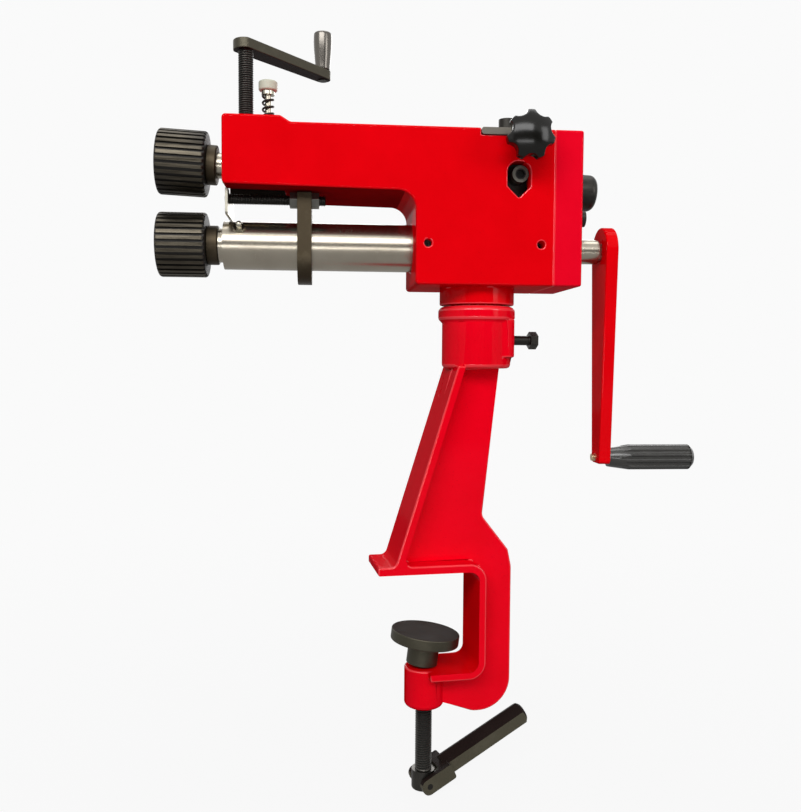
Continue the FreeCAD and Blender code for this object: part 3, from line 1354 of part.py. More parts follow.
def toggle_handle():
    """Hexagonal bar with two ears that straddle the screw's eye."""
    inner = EYE_D / 2 + FACE_GAP
    outer = inner + EAR_THICK
    half = EAR_HEIGHT / 2
    z = TOGGLE_PIN_Z
    bar_length = TOGGLE_LENGTH - EAR_LENGTH
    bar = hexagon(TOGGLE_BAR, bar_length, Vector(EAR_LENGTH, 0, z), X_AXIS)
    corner = TOGGLE_BAR / math.sqrt(3)
    chamfered = turned([
        (0, 0),
        (0, corner),
        (bar_length - TOGGLE_CHAMFER, corner),
        (bar_length, corner - TOGGLE_CHAMFER),
        (bar_length, 0),
    ], Vector(EAR_LENGTH, 0, z), X_AXIS)
    bar = bar.common(chamfered)
    points = [
        (-half, z - half, half - 1),
        (EAR_LENGTH + FORK_LAP, z - half, 2),
        (EAR_LENGTH + FORK_LAP, z + half, 2),
        (-half, z + half, half - 1),
    ]
    fork = plate_y(points, -outer, outer)
    gap_end = EAR_LENGTH - FORK_CROTCH
    fork = fork.cut(box(-2 * half, gap_end, -inner, inner, z - 2 * half, z + 2 * half))
    handle = bar.fuse(fork)
    return toggle_turned(handle.cut(rod_y(TOGGLE_PIN_D, -outer - 1, outer + 1, 0, z)))


def toggle_pin():
    reach = EYE_D / 2 + FACE_GAP + EAR_THICK
    return toggle_turned(rod_y(TOGGLE_PIN_D, -reach, reach, 0, TOGGLE_PIN_Z))


# ---------------------------------------------------------------- write every node
def main():
    os.makedirs("parts", exist_ok=True)
    # stand and clamp
    save("stand", STAND, stand())
    save("swivel_lock_bolt", STAND, swivel_lock_bolt())
    save("clamp_ball_stud", STAND, clamp_ball_stud())
    save("clamp_screw", STAND, clamp_screw())
    save("clamp_pad", STAND, clamp_pad())
    save("toggle_handle", STAND, toggle_handle())
    save("toggle_pin", STAND, toggle_pin())
    # head
    save("head_casting", HEAD, head_casting())
    save("rear_cover", HEAD, rear_cover())
    save("rear_cover_screws", HEAD, *cover_screws())
    save("sleeve", HEAD, sleeve())
    save("sleeve_bush", HEAD, flanged_bush(SLEEVE_LEFT))
    save("rear_shaft_bush", HEAD, plain_bush(HEAD_RIGHT - BUSH_LENGTH, HEAD_RIGHT))
    save("cover_bush", HEAD, plain_bush(COVER_RIGHT - COVER_WALL, COVER_RIGHT))
    save("grease_nipple", HEAD, grease_nipple())
    save("set_screws", HEAD, *set_screws())
    save("lock_plate", HEAD, lock_plate())
    save("lock_plate_screw", HEAD, lock_plate_screw())
    # lower shaft and crank
    save("lower_shaft", HEAD, lower_shaft())
    save("lower_gear", HEAD, gear(0, 0))
    save("lower_gear_key", HEAD, gear_key(0))
    save("lower_roll", HEAD, roll(0))
    save("lower_roll_key", HEAD, roll_key(0))
    save("lower_roll_bolt", HEAD, *roll_bolt(0))
    save("lower_collar", HEAD, collar(0, LOWER_COLLAR_RIGHT))
    save("crank_arm", HEAD, crank_arm())
    save("crank_grip", HEAD, crank_grip())
    save("grip_bolt", HEAD, grip_bolt())
    # upper shaft
    half_tooth = 180 / GEAR_TEETH
    save("upper_shaft", HEAD, raised(upper_shaft()))
    save("upper_gear", HEAD, raised(gear(ROCKER_X, half_tooth)))
    save("upper_gear_key", HEAD, raised(gear_key(ROCKER_X)))
    save("upper_roll", HEAD, raised(roll(ROCKER_X)))
    save("upper_roll_key", HEAD, raised(roll_key(ROCKER_X)))
    save("upper_roll_bolt", HEAD, *[raised(piece) for piece in roll_bolt(ROCKER_X)])
    save("upper_collar", HEAD, raised(collar(ROCKER_X, UPPER_COLLAR_RIGHT)))
    save("rear_knob", HEAD, raised(rear_knob()))
    # bearing blocks
    bolt_bottom = lift_block_top() - LIFT_SEAT
    bolt_hole = rod_z(LIFT_D, bolt_bottom, BOSS_TOP, LIFT_X)
    save("front_block", HEAD, raised(front_block()).cut(bolt_hole))
    save("front_block_bush", HEAD, raised(front_block_bush()))
    save("rear_block", HEAD, raised(rear_block()))
    save("rear_block_bush", HEAD, raised(rear_block_bush()))
    save("rocker_pins", HEAD, *[raised(pin) for pin in rocker_pins()])
    save("window_screw", HEAD, raised(window_screw()))
    save("lift_bolt", HEAD, lift_bolt())
    save("lift_cap", HEAD, lift_cap())
    save("lift_washer", HEAD, lift_washer())
    save("lift_spring", HEAD, lift_spring())
    # pressure screw
    save("pressure_button", HEAD, pressure_button())
    save("pressure_screw", HEAD, pressure_screw())
    save("small_crank", HEAD, small_crank())
    save("spinner_pin", HEAD, spinner_pin())
    save("spinner", HEAD, spinner())
    # star knob
    save("star_knob", HEAD, star_knob())
    save("star_knob_stud", HEAD, knob_stud())
    # gauge
    save("gauge_bracket", HEAD, gauge_bracket())
    save("gauge_nuts", HEAD, *gauge_nuts())
    save("gauge_rod", HEAD, gauge_rod())
    save("fence_plate", HEAD, fence_plate())


main()
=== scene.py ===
# %% [markdown]
# # A bench bead roller
# The machine stands on a clamp and carries two ribbed rolls at the end of a long red arm.
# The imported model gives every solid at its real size, so this lesson keeps those that are right
# as they are, softens the castings, cuts real threads, and gives each surface its finish.

# %% Load the frame
import json
import math
import bpy
from mathutils import Matrix, Vector


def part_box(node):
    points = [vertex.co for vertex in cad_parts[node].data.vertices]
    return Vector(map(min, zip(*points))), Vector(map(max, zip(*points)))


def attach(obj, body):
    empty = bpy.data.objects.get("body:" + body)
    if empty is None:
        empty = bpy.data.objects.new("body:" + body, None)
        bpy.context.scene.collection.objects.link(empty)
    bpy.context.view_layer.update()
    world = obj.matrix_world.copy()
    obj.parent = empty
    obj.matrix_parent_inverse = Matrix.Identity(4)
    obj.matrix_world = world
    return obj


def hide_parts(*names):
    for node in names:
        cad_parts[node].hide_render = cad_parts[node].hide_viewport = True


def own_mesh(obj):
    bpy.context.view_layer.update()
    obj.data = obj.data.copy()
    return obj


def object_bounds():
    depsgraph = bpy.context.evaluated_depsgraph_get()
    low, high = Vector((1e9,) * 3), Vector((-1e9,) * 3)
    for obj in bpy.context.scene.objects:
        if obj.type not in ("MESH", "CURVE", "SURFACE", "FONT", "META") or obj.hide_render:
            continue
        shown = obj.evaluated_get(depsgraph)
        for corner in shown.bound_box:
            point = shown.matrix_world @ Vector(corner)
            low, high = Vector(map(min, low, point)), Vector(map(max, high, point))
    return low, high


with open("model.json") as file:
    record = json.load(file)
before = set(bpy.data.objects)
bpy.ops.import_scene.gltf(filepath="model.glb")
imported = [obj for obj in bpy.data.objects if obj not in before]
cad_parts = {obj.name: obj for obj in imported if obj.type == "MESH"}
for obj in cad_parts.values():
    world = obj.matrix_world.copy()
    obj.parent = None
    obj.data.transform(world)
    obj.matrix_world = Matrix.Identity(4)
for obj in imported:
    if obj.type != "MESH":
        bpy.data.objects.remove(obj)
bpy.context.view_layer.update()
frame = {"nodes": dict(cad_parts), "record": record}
nodes = frame["nodes"]
bodies = frame["record"]["behaviour"]["bodies"]
body_of = {name: body for body, names in bodies.items() for name in names}
MM = 0.001

# %% [markdown]
# ## Picking things out
# An operator works on all that is selected, and the loaded solids come in selected. So each step
# first clears the selection, then makes one object active.

# %% Selection helpers
def only(piece):
    """Select this piece and nothing else."""
    bpy.ops.object.select_all(action="DESELECT")
    piece.hide_set(False)
    piece.select_set(True)
    bpy.context.view_layer.objects.active = piece
    return piece


def middle(node):
    """Centre of a solid's box."""
    low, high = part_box(node)
    return (low + high) / 2


print("sleeve centred at", [round(value, 4) for value in middle("sleeve")])

# %% [markdown]
# ## A copy of a solid
# A loaded solid is loose triangles. A copy of it is merged, and its flat faces are joined again,
# so that a Bevel modifier sees only the real edges. A finished copy moves with the solid's body
# and takes its place.

# %% Copies
MERGE = 0.01 * MM
FLAT_ENOUGH = math.radians(0.5)


def copy_of(node, name):
    """A merged copy of a loaded solid, with its flat faces joined."""
    source = nodes[node]
    piece = bpy.data.objects.new(name, source.data.copy())
    bpy.context.collection.objects.link(piece)
    piece.matrix_world = source.matrix_world.copy()
    only(piece)
    bpy.ops.object.mode_set(mode="EDIT")
    bpy.ops.mesh.select_all(action="SELECT")
    bpy.ops.mesh.remove_doubles(threshold=MERGE)
    bpy.ops.mesh.dissolve_limited(angle_limit=FLAT_ENOUGH)
    bpy.ops.object.mode_set(mode="OBJECT")
    bpy.ops.object.transform_apply(location=True, rotation=True, scale=True)
    return piece


def apply_all(piece):
    """Apply the piece's modifiers in their order."""
    only(piece)
    for modifier in list(piece.modifiers):
        bpy.ops.object.modifier_apply(modifier=modifier.name)
    return piece


def painted(piece, material):
    """Give the piece one material."""
    piece.data.materials.clear()
    piece.data.materials.append(material)
    return piece


def stands_for(piece, node):
    """The piece moves with the solid's body and takes its place."""
    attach(piece, body_of[node])
    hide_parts(node)
    return piece


print("copy helpers ready")

# %% [markdown]
# ## Soft edges
# No real edge is sharp. A bevel turns each hard edge into a narrow round one that catches the
# light, and Weighted Normal keeps the flat faces beside it flat.
#
# A machined piece is rounded wherever two faces meet at an angle. On a casting only the outer
# edges are, and without the clamp that stops a bevel at the nearest short edge, so that the
# line of light round a casting is even. There an edge is outer when the middle of one face is
# behind the other face. Outer edges get a bevel weight, and the modifier is limited by weight.

# %% Softening
SHARP_EDGE = 32
SMOOTH_BELOW = 30
EDGE_SEGMENTS = 3


def bevelled(piece, width, segments, limit, clamped=True):
    """Add a Bevel modifier."""
    bevel = piece.modifiers.new("edges", "BEVEL")
    bevel.width = width
    bevel.segments = segments
    bevel.limit_method = limit
    bevel.use_clamp_overlap = clamped
    return bevel


def weigh(piece, inner, sharp, shortest=0.0):
    """Give a bevel weight to the sharp edges of inner corners, or to the outer ones."""
    mesh = piece.data
    sides = {}
    for face in mesh.polygons:
        for key in face.edge_keys:
            sides.setdefault(key, []).append(face)
    weights = mesh.attributes.get("bevel_weight_edge")
    if weights is None:
        weights = mesh.attributes.new("bevel_weight_edge", "FLOAT", "EDGE")
    found = 0
    for edge in mesh.edges:
        weights.data[edge.index].value = 0.0
        faces = sides.get(edge.key, [])
        if len(faces) != 2:
            continue
        first, second = faces
        start, end = (mesh.vertices[index].co for index in edge.vertices)
        hollow = first.normal.dot(second.center - first.center) > 0
        turned = first.normal.angle(second.normal) > math.radians(sharp)
        if hollow == inner and turned and (end - start).length > shortest:
            weights.data[edge.index].value = 1.0
            found += 1
    print(piece.name, "inner" if inner else "outer", "edges:", found)


def soften(piece, width, slot=-1, outer=False):
    """Round the sharp edges; the new faces may take a material slot of their own."""
    if outer:
        weigh(piece, False, SHARP_EDGE)
        bevel = bevelled(piece, width, EDGE_SEGMENTS, "WEIGHT", clamped=False)
    else:
        bevel = bevelled(piece, width, EDGE_SEGMENTS, "ANGLE")
        bevel.angle_limit = math.radians(SHARP_EDGE)
    bevel.material = slot
    apply_all(piece)
    bpy.ops.object.shade_smooth_by_angle(angle=math.radians(SMOOTH_BELOW))
    flats = piece.modifiers.new("flats", "WEIGHTED_NORMAL")
    flats.keep_sharp = True
    return apply_all(piece)


print("edge helpers ready")

# %% [markdown]
# ## Fillets in the corners
# Iron doesn't fill a sharp inner corner, so a casting has a fillet wherever two walls meet. An
# edge lies in such a corner when the middle of one face is in front of the other face. Only
# long edges count, because the short ones belong to round walls.

# %% Filleting
CORNER_ANGLE = 40
SHORTEST_CORNER = 6 * MM
FILLET_SEGMENTS = 5


def fillet(piece, width):
    """Round the long inner corners."""
    weigh(piece, True, CORNER_ANGLE, SHORTEST_CORNER)
    bevelled(piece, width, FILLET_SEGMENTS, "WEIGHT")
    return apply_all(piece)


print("fillets ready")

# %% [markdown]
# ## Shader arithmetic
# A finish is easier to read as a sum than as a drawing of wires. Value wraps one socket, and
# ordinary arithmetic on it adds Math nodes. Wiring holds one node tree, and its add method is
# the only place that makes a node.

# %% Values and wiring
class Value:
    """One socket of a node tree; + - and * add Math nodes."""

    def __init__(self, wiring, socket):
        self.wiring = wiring
        self.socket = socket

    def math(self, operation, first, second):
        return self.wiring.add("ShaderNodeMath", {"operation": operation}, {0: first, 1: second})

    def __add__(self, other):
        return self.math("ADD", self, other)

    def __radd__(self, other):
        return self.math("ADD", other, self)

    def __sub__(self, other):
        return self.math("SUBTRACT", self, other)

    def __rsub__(self, other):
        return self.math("SUBTRACT", other, self)

    def __mul__(self, other):
        return self.math("MULTIPLY", self, other)


class Wiring:
    """A node tree, built from values."""

    def __init__(self, tree):
        self.tree = tree

    def connect(self, socket, value):
        """Link a value to the socket, or write a plain number or colour in it."""
        if isinstance(value, Value):
            self.tree.links.new(value.socket, socket)
        else:
            socket.default_value = value

    def add(self, kind, settings, sockets, output=0):
        """Add a node: settings first, then the values or links of its sockets."""
        node = self.tree.nodes.new(kind)
        for name, setting in settings.items():
            setattr(node, name, setting)
        for name, value in sockets.items():
            self.connect(node.inputs[name], value)
        return Value(self, node.outputs[output])

    def seen_directly(self, mirrored=1.0):
        """1 for what the camera sees, also through glass, and this share of it in a reflection."""
        kinds = ("Is Camera Ray", "Is Transmission Ray", "Is Glossy Ray")
        rays = [self.add("ShaderNodeLightPath", {}, {}, kind) for kind in kinds]
        return rays[0] + rays[1] + rays[2] * mirrored


print("wiring ready")

# %% [markdown]
# ## One material
# Finish is the wiring of one material. Its methods are the few patterns that the finishes are
# made of: clouds, a grain, a ramp, the distance from an axis, a mix of two colours and a bump.

# %% Finish
class Finish(Wiring):
    """One material."""

    def __init__(self, name):
        self.material = bpy.data.materials.new(name)
        self.material.use_nodes = True
        super().__init__(self.material.node_tree)
        self.surface = self.tree.nodes["Principled BSDF"]
        self.place = self.add("ShaderNodeTexCoord", {}, {}, "Object")

    def noise(self, scale, detail=3.0, roughness=0.5, place=None):
        """Clouds; scale is how many of them go in a metre."""
        place = place or self.place
        return self.add("ShaderNodeTexNoise", {}, {
            "Vector": place, "Scale": scale, "Detail": detail, "Roughness": roughness,
        }, "Fac")

    def grain(self, scales, detail):
        """Noise drawn out along the axes whose scale is small."""
        place = self.add("ShaderNodeMapping", {}, {"Vector": self.place, "Scale": scales})
        return self.noise(1.0, detail, 0.6, place)

    def ramp(self, value, low, high):
        """0 below low and 1 above high."""
        return self.add("ShaderNodeMapRange", {"clamp": True}, {
            "Value": value, "From Min": low, "From Max": high,
        })

    def reach(self, point, across):
        """Distance from a line through the point, counted only along the axes in across."""
        kind = "ShaderNodeVectorMath"
        offset = self.add(kind, {"operation": "SUBTRACT"}, {0: self.place, 1: tuple(point)})
        flat = self.add(kind, {"operation": "MULTIPLY"}, {0: offset, 1: across})
        return self.add(kind, {"operation": "LENGTH"}, {0: flat}, "Value")

    def mix(self, factor, first, second):
        """The first colour at factor 0 and the second at 1."""
        return self.add("ShaderNodeMix", {"data_type": "RGBA"}, {0: factor, 6: first, 7: second}, 2)

    def bump(self, height, distance, strength, normal=None):
        """A normal that leans as a surface of that height would, over another bump."""
        sockets = {"Height": height, "Distance": distance, "Strength": strength}
        if normal:
            sockets["Normal"] = normal
        return self.add("ShaderNodeBump", {}, sockets)

    def set(self, **values):
        """Fill the shader's sockets; an underscore in a name stands for a space."""
        for name, value in values.items():
            self.connect(self.surface.inputs[name.replace("_", " ")], value)


def colour(red, green, blue):
    """An opaque colour, in linear light."""
    return (red, green, blue, 1.0)


print("finish builder ready")

# %% [markdown]
# ## Red enamel
# The castings are rough iron under thick gloss enamel. The colour hardly changes, so it is one
# red with faint clouds and a few darker specks. All the gloss comes from a thin clear coat: its
# weight, and not the base's own reflection, sets how much of the white room shows in it. The
# edges get a lighter, pinker and glossier red: a painted highlight along them.
# The coat's index of refraction is high (2.2), so a small weight is enough for its highlights,
# and a face seen aslant mirrors less of the room and stays red instead of turning pink.
#
# The stand, the head and the rear cover differ a little in their red. The dark red under the
# arm and the slightly darker red inside the jaw are painted shade.

# %% Enamel
GLOSS = 0.035
COAT_INDEX = 2.2
SPECK = colour(0.25, 0.001, 0.003)


def enamel(name, bright, deep, coat=GLOSS):
    """Paint between two reds, under a clear coat of this weight."""
    finish = Finish(name)
    broad = finish.noise(28, 4)
    specks = finish.ramp(finish.noise(900, 2), 0.66, 0.74)
    tone = finish.mix(finish.ramp(broad, 0.3, 0.7), deep, bright)
    waves = finish.bump(finish.noise(70, 3), 1.2 * MM, 0.25)
    finish.set(
        Base_Color=finish.mix(specks * 0.3, tone, SPECK),
        Roughness=0.35 + broad * 0.1,
        Specular_IOR_Level=0.0,
        Coat_Weight=coat - specks * coat * 0.7,
        Coat_Roughness=0.07,
        Coat_IOR=COAT_INDEX,
        Normal=finish.bump(finish.noise(420, 2), 0.3 * MM, 0.15, waves),
    )
    return finish.material


red_enamel = enamel("red_enamel", colour(0.78, 0.0003, 0.004), colour(0.71, 0.0002, 0.003))
stand_enamel = enamel("stand_enamel", colour(0.87, 0.0004, 0.012), colour(0.80, 0.0003, 0.009))
cover_enamel = enamel("cover_enamel", colour(0.82, 0.002, 0.017), colour(0.77, 0.001, 0.014))
# The next red, a little darker and almost without gloss, is painted shade inside the jaw.
jaw_shade_enamel = enamel("jaw_shade_enamel", colour(0.82, 0.0003, 0.003),
                     colour(0.76, 0.0002, 0.002), coat=0.003)
# The next red, far darker, is painted shade under the arm.
underside_shade_enamel = enamel("underside_shade_enamel", colour(0.36, 0.0002, 0.002),
                      colour(0.30, 0.0001, 0.001), coat=0.006)
# The next red, lighter and pinker, is a painted highlight on the castings' outer edges.
edge_highlight_enamel = enamel("edge_highlight_enamel", colour(0.95, 0.040, 0.055),
                     colour(0.86, 0.022, 0.032), coat=0.22)
print("enamels ready")

# %% [markdown]
# ## Blackened steel
# Black oxide is a thin skin on steel: the metal still shines through it, browner where it was
# handled. A fine grain breaks the shine, and a cloud makes some places smoother than others.
# The near-black finishes that paint shade on the toggle handle, under the small crank and in
# the arm's slot let almost no metal shine through.

# %% Oxide finishes
METAL, SHADE_METAL = 0.9, 0.1


def oxide(name, dark, worn, rough=0.38, wear=0.3, metal=METAL):
    """A dark skin that is worn in places."""
    finish = Finish(name)
    cloud = finish.noise(60, 5, 0.6)
    rub = finish.ramp(cloud, 0.5, 0.72) * wear
    finish.set(
        Base_Color=finish.mix(rub, dark, worn),
        Metallic=metal,
        Specular_IOR_Level=metal * 0.5,
        Roughness=rough + cloud * 0.14 - rub * 0.1,
        Normal=finish.bump(finish.noise(1400, 3, 0.6), 0.12 * MM, 0.25),
    )
    return finish.material


# Next: near black, painted shade on the toggle handle's upper faces and under the small crank.
shaded_oxide = oxide("shaded_oxide", colour(0.012, 0.007, 0.006),
                   colour(0.020, 0.013, 0.011), 0.45, 0.3, SHADE_METAL)
black_oxide = oxide("black_oxide", colour(0.030, 0.028, 0.025), colour(0.085, 0.078, 0.068), 0.32)
brown_oxide = oxide("brown_oxide", colour(0.050, 0.038, 0.023),
                    colour(0.10, 0.082, 0.055), 0.42, 0.5)
olive_oxide = oxide("olive_oxide", colour(0.066, 0.060, 0.043), colour(0.12, 0.11, 0.08))
# Next: a light olive, painted light on the toggle handle's lower faces.
lit_oxide = oxide("lit_oxide", colour(0.115, 0.104, 0.072), colour(0.18, 0.165, 0.12))
grey_steel = oxide("grey_steel", colour(0.15, 0.147, 0.132), colour(0.30, 0.29, 0.26), 0.34, 0.5)
lock_steel = oxide("lock_steel", colour(0.11, 0.10, 0.085), colour(0.18, 0.165, 0.14), 0.36, 0.5)
# Next: near black, bare iron in the arm's slot, and painted shade there as well.
slot_iron_and_shade = oxide("slot_iron_and_shade", colour(0.012, 0.008, 0.006),
                  colour(0.030, 0.021, 0.016), 0.50, 0.3, SHADE_METAL)

polish = Finish("dark_polish")
polish.set(
    Base_Color=polish.mix(polish.noise(40, 1), colour(0.12, 0.11, 0.098),
                          colour(0.15, 0.139, 0.124)),
    Metallic=1.0,
    Roughness=0.20 + polish.noise(30, 1) * 0.08,
)
dark_polish = polish.material

pad_top_brown = Finish("pad_face")
pad_top_brown.set(
    Base_Color=pad_top_brown.mix(pad_top_brown.noise(120, 5, 0.6), colour(0.004, 0.002, 0.001),
                               colour(0.020, 0.008, 0.004)),
    Roughness=0.6 + pad_top_brown.noise(60) * 0.2,
    Specular_IOR_Level=0.05,
    Normal=pad_top_brown.bump(pad_top_brown.noise(700, 4), 0.2 * MM, 0.3),
)
pad_face = pad_top_brown.material
print("oxide finishes ready")

# %% [markdown]
# ## Bare steel and bronze
# Ground steel has fine lines round the shaft's axis, so its grain is noise squeezed along X.
# A turned piece that stands up has them squeezed along Z, and a plate is brushed along X.

# %% Ground finishes
def ground(name, tone, stain, scales, rough):
    """Bare metal with grinding lines."""
    finish = Finish(name)
    lines = finish.grain(scales, 3)
    cloud = finish.noise(45, 4)
    finish.set(
        Base_Color=finish.mix(finish.ramp(cloud, 0.42, 0.75), tone, stain),
        Metallic=1.0,
        Roughness=rough + lines * 0.08 + cloud * 0.06,
        Normal=finish.bump(lines, 0.06 * MM, 0.35),
    )
    return finish.material


ACROSS_X = (6000.0, 120.0, 120.0)
ACROSS_Z = (120.0, 120.0, 6000.0)
ALONG_X = (120.0, 4000.0, 4000.0)
ground_steel = ground("ground_steel", colour(0.42, 0.38, 0.31),
                      colour(0.37, 0.33, 0.265), ACROSS_X, 0.18)
plate_steel = ground("plate_steel", colour(0.42, 0.40, 0.34),
                     colour(0.33, 0.31, 0.26), ALONG_X, 0.34)
turned_steel = ground("turned_steel", colour(0.48, 0.45, 0.37),
                      colour(0.42, 0.40, 0.34), ACROSS_Z, 0.13)
bronze = ground("bronze", colour(0.66, 0.52, 0.30), colour(0.42, 0.30, 0.16), ACROSS_X, 0.24)
print("ground finishes ready")

# %% [markdown]
# ## Crests and hollows
# Rolls and threads are worn bright on their crests and keep their black skin, and old grease,
# in the hollows. The distance from the axis tells the two apart. The same rule paints shade into
# the socket of a cap screw, black inside a bright rim that is partly a painted highlight. The
# rolls' wear runs in streaks along X.

# %% Crested finish
ROUND_X = (0.0, 1.0, 1.0)
ROUND_Y = (1.0, 0.0, 1.0)
ROUND_Z = (1.0, 1.0, 0.0)
STREAKS_ALONG_X = (40.0, 700.0, 700.0)


def crested(name, node, across, hollow, crest, dark, bright, rough=0.3, streaked=False):
    """Dark below the hollow's radius and bright above the crest's."""
    finish = Finish(name)
    height = finish.ramp(finish.reach(middle(node), across), hollow, crest)
    if streaked:
        cloud = finish.ramp(finish.grain(STREAKS_ALONG_X, 4), 0.36, 0.66)
    else:
        cloud = finish.noise(80, 4, 0.6)
    finish.set(
        Base_Color=finish.mix(height * (0.45 + cloud * 0.55), dark, bright),
        Metallic=0.3 + height * 0.7,
        Roughness=rough + 0.25 - height * 0.22 + cloud * 0.1,
        Normal=finish.bump(finish.noise(1500, 2), 0.1 * MM, 0.3),
    )
    return finish.material


roll_low, roll_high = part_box("lower_roll")
roll_radius = (roll_high.y - roll_low.y) / 2
ROLL_HOLLOW = roll_radius - 0.9 * MM
ROLL_DARK = colour(0.007, 0.005, 0.003)
ROLL_BRIGHT = colour(0.105, 0.092, 0.070)
lower_roll_steel = crested("lower_roll_steel", "lower_roll", ROUND_X, ROLL_HOLLOW,
                           roll_radius, ROLL_DARK, ROLL_BRIGHT, streaked=True)
upper_roll_steel = crested("upper_roll_steel", "upper_roll", ROUND_X, ROLL_HOLLOW,
                           roll_radius, ROLL_DARK, ROLL_BRIGHT, streaked=True)
# The window screw's socket is black, painted shade in its hole; its rim is partly painted
# highlight.
SOCKET_RADIUS, SOCKET_RIM = 3.9 * MM, 4.6 * MM
shaded_socket_steel = crested("shaded_socket_steel", "window_screw", ROUND_Y, SOCKET_RADIUS, SOCKET_RIM,
                       colour(0.004, 0.004, 0.003), colour(0.22, 0.21, 0.18))
print("roll radius", round(roll_radius, 4))

# %% [markdown]
# ## Mouldings
# The star knob and the crank's grip are black phenolic: nearly mirror smooth, with faint swirls.
# The spring's cap is a cream plastic that has yellowed a little.

# %% Plastics
def moulding(name, tone, shade, rough, gloss):
    """Plastic with faint swirls."""
    finish = Finish(name)
    cloud = finish.noise(90, 4)
    finish.set(
        Base_Color=finish.mix(cloud, tone, shade),
        Roughness=rough + cloud * 0.08,
        Specular_IOR_Level=gloss,
        Normal=finish.bump(finish.noise(700, 2), 0.1 * MM, 0.12),
    )
    return finish.material


black_phenolic = moulding("black_phenolic", colour(0.003, 0.003, 0.002),
                          colour(0.007, 0.006, 0.005), 0.14, 0.3)
grip_phenolic = moulding("grip_phenolic", colour(0.020, 0.019, 0.017),
                         colour(0.032, 0.031, 0.027), 0.20, 0.7)
cream_plastic = moulding("cream_plastic", colour(0.58, 0.59, 0.48),
                         colour(0.50, 0.50, 0.40), 0.40, 0.3)
print("plastics ready")

# %% [markdown]
# ## Finishes on the solids that stay
# A solid whose shape is right already only needs its finish. There is one call for each finish,
# with the names of its solids.

# %% Dress the solids
def dress(material, *names):
    """Give the solids one material."""
    for name in names:
        for place in nodes[name].material_slots:
            place.material = material


dress(ground_steel, "sleeve", "sleeve_bush", "lower_shaft", "upper_shaft", "clamp_ball_stud",
      "rocker_pins", "lift_bolt", "star_knob_stud", "lower_gear", "upper_gear",
      "lower_gear_key", "upper_gear_key", "lower_roll_key", "upper_roll_key")
dress(bronze, "front_block_bush", "rear_block_bush", "rear_shaft_bush", "cover_bush",
      "grip_bolt")
dress(black_oxide, "lower_roll_bolt", "upper_roll_bolt", "front_block", "rear_block",
      "set_screws", "rear_cover_screws", "lock_plate_screw", "spinner_pin", "toggle_pin")
dress(plate_steel, "fence_plate")
dress(grey_steel, "pressure_button")
dress(shaded_socket_steel, "window_screw")
dress(turned_steel, "grease_nipple", "lift_washer")
print("dressed", len(nodes), "solids")

# %% [markdown]
# ## Castings with soft edges
# Every casting leaves its mould with rounded edges and with fillets where walls meet, and the
# paint rounds them further. Each casting is copied, merged and bevelled, and its new edge faces
# take a lighter, pinker enamel in a slot of their own: a painted highlight. Only the stand has
# corners large enough to need their fillets here.

# %% Castings
EDGE_SLOT = 1


def casting(node, width, material, corner=0.0):
    """A painted copy with soft outer edges, and with fillets if a corner width is given."""
    piece = painted(copy_of(node, node + "_painted"), material)
    piece.data.materials.append(edge_highlight_enamel)
    if corner:
        fillet(piece, corner)
    return stands_for(soften(piece, width, slot=EDGE_SLOT, outer=True), node)


stand = casting("stand", 1.3 * MM, stand_enamel, 4.0 * MM)
head = casting("head_casting", 0.9 * MM, red_enamel)
cover = casting("rear_cover", 0.7 * MM, cover_enamel)
crank = casting("crank_arm", 0.6 * MM, red_enamel)
print("castings:", [len(piece.data.polygons) for piece in (stand, head, cover, crank)])

# %% [markdown]
# ## Where the paint stops
# The slot of the front block is milled after painting, so its walls are bare iron; their near
# black is partly painted shade. The underside of the arm is a dark red with little gloss, painted
# shade, and inside the jaw the red is slightly darker and almost without gloss, painted shade as
# well. Faces are chosen by where they are and which way they look.

# %% Bare slot and painted shade
SIDEWAYS = 0.7
STRAIGHT = 0.9
SLOT_LENGTH = 60 * MM
JAW_TOP = -10 * MM
JAW_ASIDE, JAW_TOWARDS = 0.3, 0.8
block_low, block_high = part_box("front_block")
slot_middle = middle("front_block").y
slot_half = (block_high.y - block_low.y) / 2 + MM
slot_end = block_high.x + SLOT_LENGTH
arm_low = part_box("sleeve")[1].z


def coat_faces(piece, material, chosen):
    """Give a material to the faces that pass the test."""
    piece.data.materials.append(material)
    slot = len(piece.data.materials) - 1
    faces = [face for face in piece.data.polygons if chosen(face)]
    for face in faces:
        face.material_index = slot
    print(piece.name, "has", len(faces), "faces of", material.name)


def in_slot(face):
    """A side wall of the front block's slot."""
    within = abs(face.center.y - slot_middle) < slot_half and face.center.x < slot_end
    return within and abs(face.normal.y) > SIDEWAYS


def under_arm(face):
    """The underside of the arm, above the sleeve."""
    return face.normal.z < -STRAIGHT and face.center.z > arm_low


def in_jaw(face):
    """Below the bench's top and looking towards the bench, but not a soft edge."""
    facing = face.normal
    towards = abs(facing.y) < JAW_ASIDE and facing.z - facing.x > JAW_TOWARDS
    return face.center.z < JAW_TOP and towards and face.material_index != EDGE_SLOT


# The slot's walls, the arm's underside and the jaw take finishes that paint shade.
coat_faces(head, slot_iron_and_shade, in_slot)
coat_faces(head, underside_shade_enamel, under_arm)
coat_faces(stand, jaw_shade_enamel, in_jaw)

# %% [markdown]
# ## Machined pieces with broken edges
# A turned or milled piece has its sharp edges taken off with a file or a form tool. The width
# of that edge is small, but it is what draws a thin bright line round each piece. Each row gives
# a solid, the width of its edges in millimetres, and its finish.

